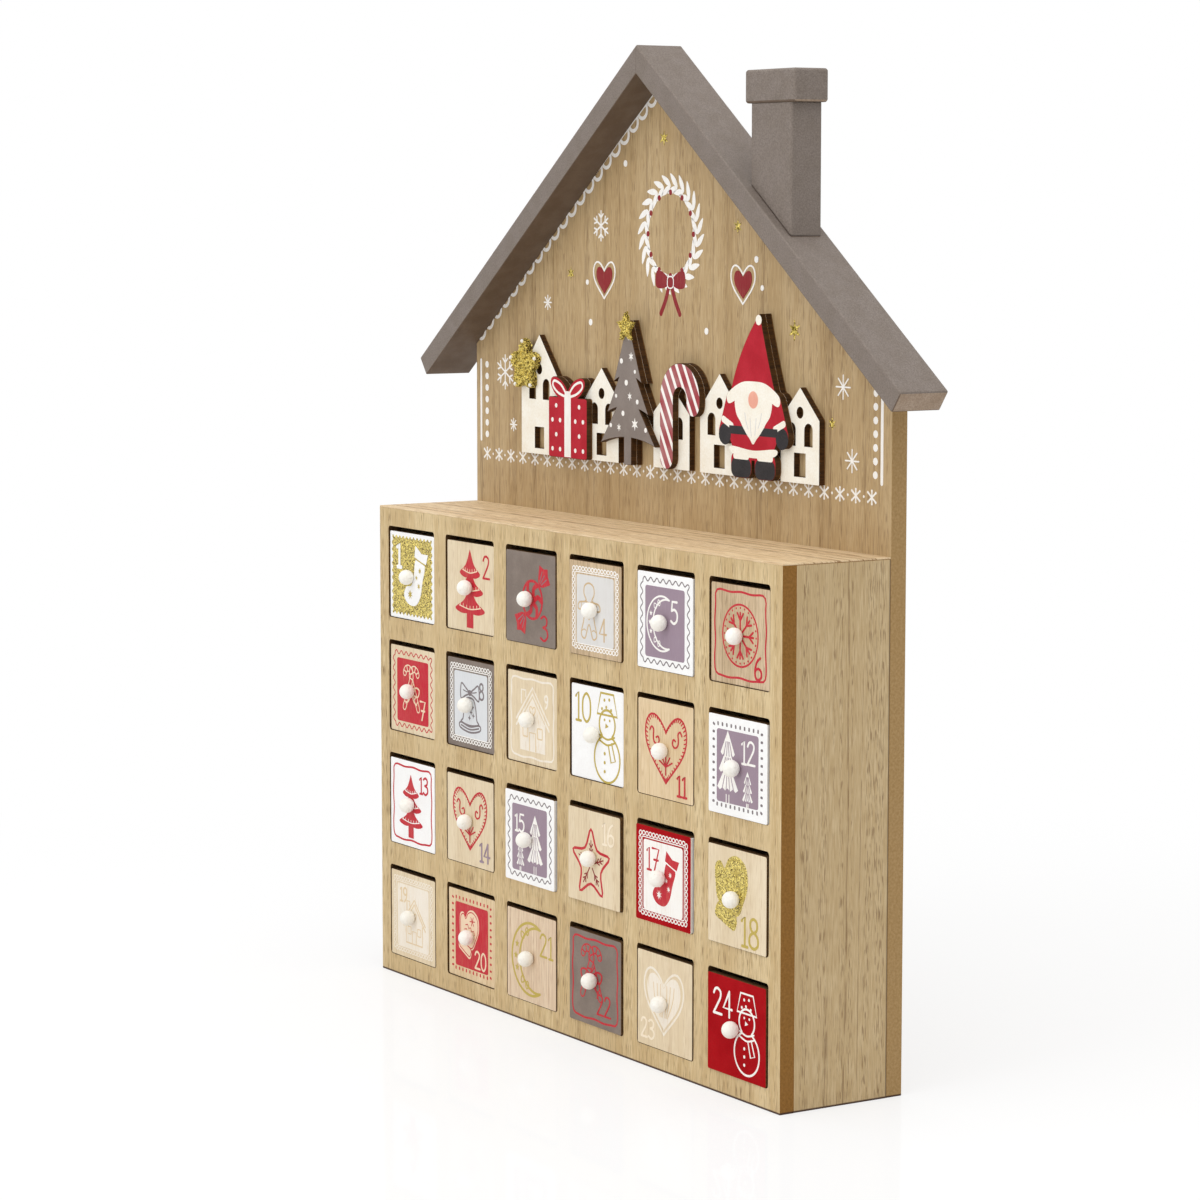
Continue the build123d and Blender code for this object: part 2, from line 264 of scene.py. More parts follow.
def flake_group() -> NodeTree:
    """Builds the tilted facets of glitter, and random bright and deep tones of its flakes that paint glints
    and shade.

    Returns:
        The node group.
    """
    graph, given, result = new_group("flakes", "ShaderNodeTree",
                                     {"Vector": VECTOR, "Tilt": NUMBER, "Scale": NUMBER},
                                     {"Shade": NUMBER, "Normal": VECTOR})
    place, tilt, scale = given.outputs[:3]
    cells = graph.add("ShaderNodeTexVoronoi", {"Vector": place, "Scale": scale}).outputs["Color"]
    lean = graph.vector("SCALE", graph.vector("SUBTRACT", cells, (0.5, 0.5, 0.5)), tilt)
    tilted = graph.vector("ADD", graph.add("ShaderNodeNewGeometry").outputs["Normal"], lean)
    graph.feed(result, {"Shade": graph.add("ShaderNodeSeparateColor", {0: cells}).outputs[0],
                        "Normal": graph.vector("NORMALIZE", tilted)})
    return graph.tree


def foot_line_group() -> NodeTree:
    """Builds the dark line along the boards' foot: partly their burnt edge, partly painted contact shadow.

    Returns:
        The node group.
    """
    graph, given, result = new_group("foot_line", "ShaderNodeTree", {"Vector": VECTOR}, {"Mask": NUMBER})
    graph.feed(result, {"Mask": graph.ramp(graph.along(given.outputs[0], UP), 1.0, 0.5)})
    return graph.tree


GRAIN = wood_grain_group()
SPECKLE = speckle_group()
FLAKES = flake_group()
FOOT_LINE = foot_line_group()
# Dark brown along the boards' foot: partly burnt edge, partly painted contact shadow on the floor.
FOOT_BURN_AND_SHADE = tone(70, 48, 36)
# Dark joint colour: the seam where the sides meet the panel, and the painted shadow of the gap at the
# chimney's foot.
JOINT_SHADE = tone(52, 42, 36)


# Finishes


class GrainRun(Enum):
    """Which way the grain of a board runs: the direction across it, then along it."""

    UPRIGHT = ((1.0, 0.83, 0.0), (0.0, 0.0, 1.0))
    LEVEL = ((0.0, 1.0, 0.83), (1.0, 0.0, 0.0))
    DEEP = ((1.0, 0.0, 0.83), (0.0, 1.0, 0.0))

    def figure(self, graph: Graph, place: NodeSocket, ring_width: float, vein_width: float) -> NodeOutputs:
        """Places the wood's grain, running this way.

        Args:
            graph: The material's graph.
            place: The place on the piece, in millimetres.
            ring_width: Width of the growth rings.
            vein_width: Width of their dark lines.

        Returns:
            Its masks.
        """
        across, length = (graph.along(place, direction) for direction in self.value)
        return graph.group(GRAIN, {"Across": across, "Along": length, "Ring Width": ring_width,
                                   "Vein Width": vein_width})


def speckles(graph: Graph, place: NodeSocket, size: float) -> NodeOutputs:
    """Places the speckles of a given size and returns their masks."""
    return graph.group(SPECKLE, {"Vector": place, "Size": size})


def footed(graph: Graph, place: NodeSocket, colour: NodeSocket) -> NodeSocket:
    """Returns a board's colour with the dark line along its foot: partly burnt edge, partly painted contact
    shadow.
    """
    return graph.mix(graph.group(FOOT_LINE, {"Vector": place})["Mask"], colour, FOOT_BURN_AND_SHADE)


@dataclass(frozen=True)
class Finish:
    """A surface finish, which makes its material once."""

    name: str

    def material(self) -> Material:
        """Makes the finish's material at the first call.

        Returns:
            The material.
        """
        found = bpy.data.materials.get(self.name)
        if found:
            return found
        made = bpy.data.materials.new(self.name)
        made.use_nodes = True
        self.dress(Graph(made.node_tree), made.node_tree.nodes["Principled BSDF"])
        return made

    def dress(self, graph: Graph, shader: Node) -> None:
        """Feeds the shader of a new material."""
        raise NotImplementedError


@dataclass(frozen=True)
class WoodFinish(Finish):
    """Bare wood with bands, growth rings and pores, and a dark seam where it meets another board."""

    light: Colour
    dark: Colour
    line: Colour
    run: GrainRun = GrainRun.UPRIGHT
    ring_width: float = 7.0
    vein_width: float = 1.1
    rings: float = 0.5
    pores: float = 0.55
    stain: float = 0.4
    blotch_size: float = 1.4
    relief: float = 0.05
    seam: float | None = None
    seam_width: float = 0.8
    seam_core: float = 0.3
    seam_depth: float = 0.75

    def dress(self, graph: Graph, shader: Node) -> None:
        """Feeds the shader with the grain.

        Args:
            graph: The material's graph.
            shader: Its Principled shader.
        """
        place = graph.millimetres()
        grain = self.run.figure(graph, place, self.ring_width, self.vein_width)
        blotch = speckles(graph, place, self.blotch_size)["Mottle"]
        stained = graph.mix(graph.times(blotch, self.stain), self.light, self.dark)
        wood = graph.mix(grain["Tone"], stained, self.dark)
        wood = graph.mix(graph.times(grain["Rings"], self.rings), wood, self.line)
        wood = graph.mix(graph.times(grain["Pores"], self.pores), wood, self.line)
        if self.seam is not None:
            depth = graph.along(place, BACK)
            line = graph.ramp(depth, self.seam - self.seam_width, self.seam - self.seam_core)
            wood = graph.mix(graph.times(line, self.seam_depth), wood, JOINT_SHADE)
        graph.feed(shader, {"Base Color": footed(graph, place, wood),
                            "Roughness": graph.span(grain["Tone"], 0.56, 0.7),
                            "Normal": graph.bump(grain["Height"], self.relief), "Specular IOR Level": 0.3})


@dataclass(frozen=True)
class PaintFinish(Finish):
    """Sprayed paint: slightly uneven, with fine pimples and a few specks."""

    colour: Colour
    shade: Colour
    speck: Colour
    grit: float = 0.5
    relief: float = 0.05
    roughness: float = 0.55
    unevenness: float = 0.06
    specks: float = 0.5
    grain: float = 0.15
    gloss: float = 0.2

    def coat(self, graph: Graph, place: NodeSocket, spots: NodeOutputs) -> NodeSocket:
        """Mixes the colour of the mottled paint.

        Args:
            graph: The material's graph.
            place: The place on the piece, in millimetres; not used here.
            spots: The outputs of the speckle group.

        Returns:
            The colour.
        """
        base = graph.mix(spots["Mottle"], self.colour, self.shade)
        grained = graph.mix(graph.times(spots["Grain"], self.grain), base, self.speck)
        return graph.mix(graph.times(spots["Speck"], self.specks), grained, self.speck)

    def dress(self, graph: Graph, shader: Node) -> None:
        """Feeds the shader with the mottled paint.

        Args:
            graph: The material's graph.
            shader: Its Principled shader.
        """
        place = graph.millimetres()
        spots = speckles(graph, place, self.grit)
        low, high = self.roughness - self.unevenness, self.roughness + self.unevenness
        graph.feed(shader, {"Base Color": self.coat(graph, place, spots),
                            "Roughness": graph.span(spots["Mottle"], low, high),
                            "Normal": graph.bump(spots["Height"], self.relief),
                            "Specular IOR Level": self.gloss})


@dataclass(frozen=True)
class JointPaint(PaintFinish):
    """Paint with a painted shadow line where the piece stands on a sloping board, for the gap at its foot."""

    normal: Triple = UP
    offset: float = 0.0
    line_top: float = 0.95
    line_full: float = 0.4

    def coat(self, graph: Graph, place: NodeSocket, spots: NodeOutputs) -> NodeSocket:
        """Darkens the paint along the joint: painted shade of the gap there.

        Args:
            graph: The material's graph.
            place: The place on the piece, in millimetres.
            spots: The outputs of the speckle group.

        Returns:
            The colour.
        """
        above = graph.minus(graph.along(place, self.normal), self.offset)
        line = graph.times(graph.ramp(above, self.line_top, self.line_full),
                           graph.span(spots["Mottle"], 0.95, 0.55))
        return graph.mix(line, super().coat(graph, place, spots), JOINT_SHADE)


@dataclass(frozen=True)
class InkFinish(Finish):
    """Screen-print ink that lets the grain under it show through in the pores."""

    colour: Colour
    bare: Colour
    cover: float = 0.75
    ring_width: float = 5.0
    vein_width: float = 1.0
    grit: float = 0.35

    def dress(self, graph: Graph, shader: Node) -> None:
        """Feeds the shader with the broken ink.

        Args:
            graph: The material's graph.
            shader: Its Principled shader.
        """
        place = graph.millimetres()
        grain = GrainRun.UPRIGHT.figure(graph, place, self.ring_width, self.vein_width)
        spots = speckles(graph, place, self.grit)
        thin = graph.math("MAXIMUM", grain["Pores"], graph.times(spots["Speck"], 0.8))
        bare = 1 - self.cover
        worn = graph.plus(graph.times(thin, bare), graph.times(grain["Tone"], 0.3 * bare))
        graph.feed(shader, {"Base Color": graph.mix(worn, self.colour, self.bare),
                            "Roughness": graph.span(spots["Mottle"], 0.5, 0.66),
                            "Normal": graph.bump(grain["Height"], 0.03), "Specular IOR Level": 0.3})


@dataclass(frozen=True)
class FibreFinish(Finish):
    """Edge of fibre board, brown and speckled, or of plywood, streaked along the cut."""

    light: Colour
    dark: Colour
    ply: float = 0.0
    ply_line: Colour = (0.0, 0.0, 0.0, 1.0)
    streak: Triple = (1.0, 1.0, 1.0)

    def dress(self, graph: Graph, shader: Node) -> None:
        """Feeds the shader with the fibres, and with pale glue lines in plywood.

        Args:
            graph: The material's graph.
            shader: Its Principled shader.
        """
        place = graph.millimetres()
        spots = speckles(graph, place, 0.4)
        drawn = graph.vector("MULTIPLY", place, self.streak)
        base = graph.mix(graph.ramp(graph.noise(drawn, 1.0, 3.0), 0.2, 0.8), self.light, self.dark)
        fibre = graph.mix(graph.times(spots["Speck"], 0.45), base, self.dark)
        if self.ply:
            layer = graph.math("PINGPONG", graph.along(place, (0.0, 1.0 / self.ply, 0.0)), 0.5)
            near = graph.ramp(layer, 0.42, 0.49)
            fibre = graph.mix(graph.times(near, 0.65), fibre, self.ply_line)
        graph.feed(shader, {"Base Color": footed(graph, place, fibre),
                            "Roughness": graph.span(spots["Mottle"], 0.7, 0.85),
                            "Normal": graph.bump(spots["Height"], 0.1), "Specular IOR Level": 0.2})


@dataclass(frozen=True)
class StripeFinish(Finish):
    """Paint with slanting stripes."""

    ground: Colour
    stripe: Colour
    pitch: float = 4.6
    share: float = 0.36
    slant: float = 30.0
    blur: float = 0.02

    def dress(self, graph: Graph, shader: Node) -> None:
        """Feeds the shader with the stripes and the paint's unevenness.

        Args:
            graph: The material's graph.
            shader: Its Principled shader.
        """
        place = graph.millimetres()
        spots = speckles(graph, place, 0.5)
        lean = (cos(radians(self.slant)) / self.pitch, 0.0, sin(radians(self.slant)) / self.pitch)
        turns = graph.math("FRACT", graph.plus(graph.along(place, lean), 40.0))
        band = graph.ramp(turns, 1 - self.share - self.blur, 1 - self.share + self.blur)
        worn = graph.times(band, graph.span(spots["Mottle"], 0.94, 1.0))
        ground = graph.mix(graph.times(spots["Mottle"], 0.16), self.ground, self.stripe)
        graph.feed(shader, {"Base Color": graph.mix(worn, ground, self.stripe),
                            "Roughness": graph.span(spots["Mottle"], 0.48, 0.6),
                            "Normal": graph.bump(spots["Height"], 0.04)})


@dataclass(frozen=True)
class GlitterFinish(Finish):
    """Metal flakes in glue, each painted bright or deep at random: painted glints and shade."""

    bright: Colour
    deep: Colour
    tilt: float = 0.9
    scale: float = 1.7

    def dress(self, graph: Graph, shader: Node) -> None:
        """Feeds the shader with tilted flakes.

        Args:
            graph: The material's graph.
            shader: Its Principled shader.
        """
        flakes = graph.group(FLAKES, {"Vector": graph.millimetres(), "Tilt": self.tilt, "Scale": self.scale})
        graph.feed(shader, {"Base Color": graph.mix(flakes["Shade"], self.deep, self.bright),
                            "Roughness": graph.span(flakes["Shade"], 0.22, 0.42),
                            "Normal": flakes["Normal"], "Metallic": 0.4})


GABLE_VENEER = WoodFinish("gable_veneer", tone(194, 169, 129), tone(175, 147, 105), tone(112, 82, 48),
                          ring_width=8.5, vein_width=2.2, rings=0.5, pores=0.5)
FRONT_VENEER = WoodFinish("front_veneer", tone(219, 197, 154), tone(195, 168, 122), tone(124, 94, 56),
                          ring_width=13.0, rings=0.35, pores=0.75, stain=0.6)
SIDE_VENEER = WoodFinish("side_veneer_joined", tone(206, 183, 143), tone(186, 160, 118), tone(112, 82, 48),
                         ring_width=14.0, vein_width=1.4, rings=0.7, pores=0.62)
TOP_VENEER = WoodFinish("top_veneer_grain", tone(242, 220, 183), tone(213, 184, 142), tone(146, 108, 70),
                        run=GrainRun.LEVEL, ring_width=5.0, vein_width=2.4, rings=0.85)
PLAIN_BOARD = WoodFinish("plain_board_grain", tone(206, 180, 138), tone(186, 156, 112), tone(140, 108, 70),
                         run=GrainRun.DEEP, rings=0.3)
FRAME_EDGE = FibreFinish("frame_edge", tone(146, 104, 49), tone(126, 87, 36))
PANEL_EDGE = FibreFinish("panel_edge", tone(174, 143, 98), tone(154, 123, 78))
WINDOW_EDGE = FibreFinish("window_edge", tone(104, 74, 40), tone(62, 42, 22))
PANEL_BACK = FibreFinish("panel_back", tone(178, 146, 102), tone(160, 128, 86))
BURNT_PLY = FibreFinish("burnt_plywood", tone(88, 58, 26), tone(44, 27, 12), 2.7, tone(150, 108, 56),
                        (1.4, 0.14, 1.4))
ROOF_TAUPE = (tone(133, 122, 114), tone(129, 118, 109), tone(98, 87, 79))
ROOF_GRAIN = {"grit": 0.4, "relief": 0.22, "specks": 0.7, "grain": 0.38}
ROOF_PAINT = PaintFinish("roof_taupe", *ROOF_TAUPE, **ROOF_GRAIN)
# Lighter paint on the boards' cut ends: partly their own worn lighter tone, partly painted light from the
# bounce below.
ROOF_END = PaintFinish("roof_end", tone(172, 152, 133), tone(160, 139, 119), tone(120, 98, 78), **ROOF_GRAIN)
# Darker brown paint on the faces that look down: painted shade under the roof boards.
ROOF_UNDERSIDE_SHADE = PaintFinish("roof_underside", tone(110, 94, 80), tone(102, 86, 72), tone(84, 70, 58))
CREAM_PAINT = PaintFinish("cutout_cream", tone(249, 246, 236), tone(244, 238, 224), tone(222, 206, 174))
RED_PAINT = PaintFinish("cutout_red", tone(186, 18, 42), tone(174, 14, 36), tone(136, 10, 28))
GREY_PAINT = PaintFinish("cutout_taupe", tone(138, 127, 120), tone(130, 119, 112), tone(108, 96, 90))
STRIPE_PAINT = StripeFinish("cutout_stripes", tone(152, 28, 42), tone(248, 244, 240))
BLACK_PAINT = PaintFinish("cutout_black", tone(44, 40, 42), tone(36, 34, 36), tone(70, 66, 66))
SKIN_PAINT = PaintFinish("cutout_skin", tone(240, 178, 156), tone(232, 164, 144), tone(220, 150, 130))
KNOB_PAINT = PaintFinish("knob_white", tone(250, 248, 242), tone(244, 241, 232), tone(226, 220, 206),
                         grit=1.1, relief=0.3)
DRAWER_WHITE = PaintFinish("front_white", tone(247, 247, 246), tone(243, 242, 241), tone(232, 228, 222))
EDGE_WHITE = PaintFinish("front_edge_white", tone(240, 238, 234), tone(230, 226, 220), tone(196, 184, 168))
DRAWER_TAUPE = PaintFinish("front_taupe", tone(134, 121, 111), tone(124, 111, 102), tone(102, 90, 82))
DRAWER_RED = PaintFinish("front_red", tone(170, 0, 14), tone(160, 0, 12), tone(128, 0, 10), gloss=0.05)
DRAWER_WOOD = WoodFinish("front_wood", tone(230, 208, 172), tone(216, 190, 150), tone(176, 142, 100),
                         ring_width=4.0, rings=0.35, pores=0.4, relief=0.03)
PALE_WOOD = WoodFinish("front_pale_wood", tone(231, 215, 186), tone(219, 200, 167), tone(184, 154, 116),
                       ring_width=5.0, rings=0.3, pores=0.4, relief=0.03)
PINK_WOOD = WoodFinish("front_pink_wood", tone(229, 210, 182), tone(213, 187, 158), tone(174, 138, 112),
                       ring_width=2.2, rings=0.5, pores=0.4, relief=0.03)
TAN_WOOD = WoodFinish("front_tan_wood", tone(214, 190, 157), tone(190, 165, 131), tone(140, 116, 86),
                      ring_width=3.4, rings=0.5, pores=0.65, relief=0.03)
GOLD_GLITTER = GlitterFinish("gold_flakes", tone(250, 228, 122), tone(136, 114, 34))
FINE_GLITTER = GlitterFinish("fine_gold_flakes", tone(250, 230, 132), tone(134, 112, 36), scale=2.3)
WHITE_INK = InkFinish("white_ink", tone(246, 244, 240), tone(206, 180, 138))
FAINT_INK = InkFinish("faint_ink", tone(239, 231, 218), tone(220, 197, 160), cover=0.45)
RED_INK = InkFinish("red_ink", tone(190, 18, 44), tone(210, 130, 104))
CRIMSON_INK = InkFinish("crimson_ink", tone(134, 16, 30), tone(170, 96, 72))
GREY_INK = InkFinish("grey_ink", tone(118, 108, 110), tone(176, 168, 166))
MAUVE_INK = InkFinish("mauve_ink", tone(150, 130, 144), tone(170, 154, 162))
GOLD_INK = InkFinish("gold_ink", tone(186, 164, 74), tone(210, 190, 128))
TAN_INK = InkFinish("tan_ink", tone(200, 172, 132), tone(226, 208, 180))
PALE_INK = InkFinish("pale_ink", tone(219, 217, 214), tone(202, 194, 184))
ICE_INK = InkFinish("ice_ink", tone(217, 219, 221), tone(198, 199, 200))
BARE_INK = InkFinish("bare_ink", tone(236, 210, 180), tone(226, 196, 160))
GHOST_INK = InkFinish("ghost_ink", tone(243, 230, 208), tone(230, 206, 170), cover=0.4)
SAND_INK = InkFinish("sand_ink", tone(222, 198, 158), tone(232, 214, 184))


# Outlines, in millimetres


def spline(points: Sequence[Point], closed: bool = False, steps: int = 7) -> list[Point]:
    """Draws a smooth line through a few points.

    Args:
        points: The points.
        closed: Whether the line returns to its start.
        steps: Points made for each stretch.

    Returns:
        The points of the line.
    """
    count = len(points)
    line = []
    for index in range(count if closed else count - 1):
        near = [index + shift for shift in (-1, 0, 1, 2)]
        run = [points[place % count if closed else min(max(place, 0), count - 1)] for place in near]
        for step in range(steps):
            t = step / steps
            line.append(tuple(
                0.5 * (2 * b + (c - a) * t + (2 * a - 5 * b + 4 * c - d) * t * t
                       + (3 * b - a - 3 * c + d) * t**3)
                for a, b, c, d in zip(*run)))
    if not closed:
        line.append(tuple(points[-1]))
    return line


def polar(centre: Point, reach: float, angle: float) -> Point:
    """Gives the point at a distance and an angle, in radians, from a centre."""
    return centre[0] + reach * cos(angle), centre[1] + reach * sin(angle)


def arc(centre: Point, radius: float, start: float = 0.0, end: float = 360.0, steps: int = 20) -> list[Point]:
    """Draws an arc by angles in degrees, open at its end where it is a whole circle."""
    count = steps if abs(end - start) >= 360 else steps - 1
    return [polar(centre, radius, radians(start + (end - start) * step / count)) for step in range(steps)]


def rounded(width: float, height: float, radius: float, centre: Point = MIDDLE) -> list[Point]:
    """Draws a rectangle with round corners, anticlockwise.

    Args:
        width: Its width.
        height: Its height.
        radius: Radius of its corners.
        centre: Its middle.

    Returns:
        The points of its outline.
    """
    line = []
    for number, (right, up) in enumerate(((1, 1), (-1, 1), (-1, -1), (1, -1))):
        corner = (centre[0] + right * (width / 2 - radius), centre[1] + up * (height / 2 - radius))
        line += arc(corner, radius, number * 90, number * 90 + 90, 5)
    return line


def star(centre: Point, radius: float, waist: float, points: int = 5, spin: float = 90.0) -> list[Point]:
    """Draws a star."""
    return [polar(centre, waist if corner % 2 else radius, radians(spin) + corner * pi / points)
            for corner in range(2 * points)]


def heart(centre: Point, size: float, steps: int = 44) -> list[Point]:
    """Draws a heart, from its notch.

    Args:
        centre: Its middle.
        size: Half its width.
        steps: Points in its outline.

    Returns:
        The points of its outline.
    """
    line = []
    for step in range(steps):
        t = 2 * pi * step / steps
        rise = 13 * cos(t) - 5 * cos(2 * t) - 2 * cos(3 * t) - cos(4 * t)
        line.append((centre[0] - size * sin(t) * abs(sin(t)), centre[1] + size * (rise + 2.5) / 16))
    return line


def waved(line: Sequence[Point], depth: float, waves: int) -> list[Point]:
    """Makes a closed line swing evenly to both sides of its course.

    Args:
        line: The line.
        depth: How far it swings to each side.
        waves: How many waves it makes.

    Returns:
        The points of the waved line.
    """
    lengths = [hypot(b[0] - a[0], b[1] - a[1]) for a, b in zip(line, [*line[1:], line[0]])]
    total, steps = sum(lengths), waves * 8
    result, index, passed = [], 0, 0.0
    for step in range(steps):
        target = total * step / steps
        while passed + lengths[index] < target:
            passed += lengths[index]
            index += 1
        a, b = line[index], line[(index + 1) % len(line)]
        length = max(lengths[index], 1e-9)
        share = (target - passed) / length
        across = ((b[1] - a[1]) / length, (a[0] - b[0]) / length)
        swing = depth * sin(2 * pi * waves * step / steps)
        result.append(tuple(a[axis] + (b[axis] - a[axis]) * share + across[axis] * swing for axis in (0, 1)))
    return result


def moved(line: Sequence[Point], centre: Point = MIDDLE, turn: float = 0.0, size: float = 1.0) -> list[Point]:
    """Turns, scales and shifts a line."""
    c, s = size * cos(radians(turn)), size * sin(radians(turn))
    return [(centre[0] + x * c - z * s, centre[1] + x * s + z * c) for x, z in line]


def flipped(line: Sequence[Point], side: int) -> list[Point]:
    """Gives a line as it is for side 1, or its mirror image for side -1."""
    return [(side * x, z) for x, z in line]


def mirrored(half: Sequence[Point]) -> list[Point]:
    """Closes the right-hand half of an outline, drawn from its top to its foot, with its mirror image."""
    return [*half, *((-x, z) for x, z in reversed(half) if abs(x) > 0.01)]


def block(half: float, low: float, high: float) -> list[Point]:
    """Draws an upright rectangle about the middle line."""
    return [(-half, low), (half, low), (half, high), (-half, high)]


# Strokes of each digit: whether it is smooth, and its points; one that ends where it starts is closed
DIGITS: dict[str, tuple[tuple[bool, tuple[Point, ...]], ...]] = {
    "0": ((True, ((0.3, 1.0), (0.09, 0.82), (0.04, 0.5), (0.09, 0.18), (0.3, 0.0), (0.51, 0.18),
                  (0.56, 0.5), (0.51, 0.82), (0.3, 1.0))),),
    "1": ((False, ((0.06, 0.84), (0.24, 1.0), (0.24, 0.0))), (False, ((0.08, 0.0), (0.4, 0.0)))),
    "2": ((True, ((0.04, 0.8), (0.14, 0.96), (0.32, 1.0), (0.5, 0.88), (0.48, 0.66), (0.28, 0.36),
                  (0.03, 0.02))),
          (False, ((0.03, 0.02), (0.58, 0.02)))),
    "3": ((True, ((0.06, 0.9), (0.28, 1.0), (0.5, 0.88), (0.46, 0.64), (0.22, 0.54))),
          (True, ((0.22, 0.54), (0.5, 0.44), (0.55, 0.18), (0.3, 0.0), (0.03, 0.1)))),
    "4": ((False, ((0.42, 0.0), (0.42, 1.0))), (False, ((0.42, 1.0), (0.02, 0.32), (0.6, 0.32)))),
    "5": ((False, ((0.52, 1.0), (0.14, 1.0), (0.09, 0.58))),
          (True, ((0.09, 0.58), (0.32, 0.64), (0.54, 0.48), (0.52, 0.16), (0.28, 0.0), (0.03, 0.1)))),
    "6": ((True, ((0.46, 0.99), (0.22, 0.82), (0.07, 0.5), (0.05, 0.26))),
          (True, ((0.05, 0.26), (0.13, 0.06), (0.32, 0.0), (0.54, 0.15), (0.51, 0.4), (0.3, 0.5),
                  (0.11, 0.42), (0.05, 0.26)))),
    "7": ((False, ((0.02, 1.0), (0.56, 1.0), (0.2, 0.0))), (False, ((0.16, 0.5), (0.5, 0.5)))),
    "8": ((True, ((0.3, 0.54), (0.12, 0.67), (0.12, 0.9), (0.3, 1.0), (0.48, 0.9), (0.48, 0.67),
                  (0.3, 0.54))),
          (True, ((0.3, 0.54), (0.07, 0.38), (0.07, 0.12), (0.3, 0.0), (0.53, 0.12), (0.53, 0.38),
                  (0.3, 0.54)))),
    "9": ((True, ((0.53, 0.74), (0.46, 0.56), (0.28, 0.5), (0.07, 0.63), (0.09, 0.9), (0.3, 1.0),
                  (0.48, 0.92), (0.53, 0.74))),
          (True, ((0.53, 0.74), (0.52, 0.52), (0.42, 0.22), (0.2, 0.0)))),
}


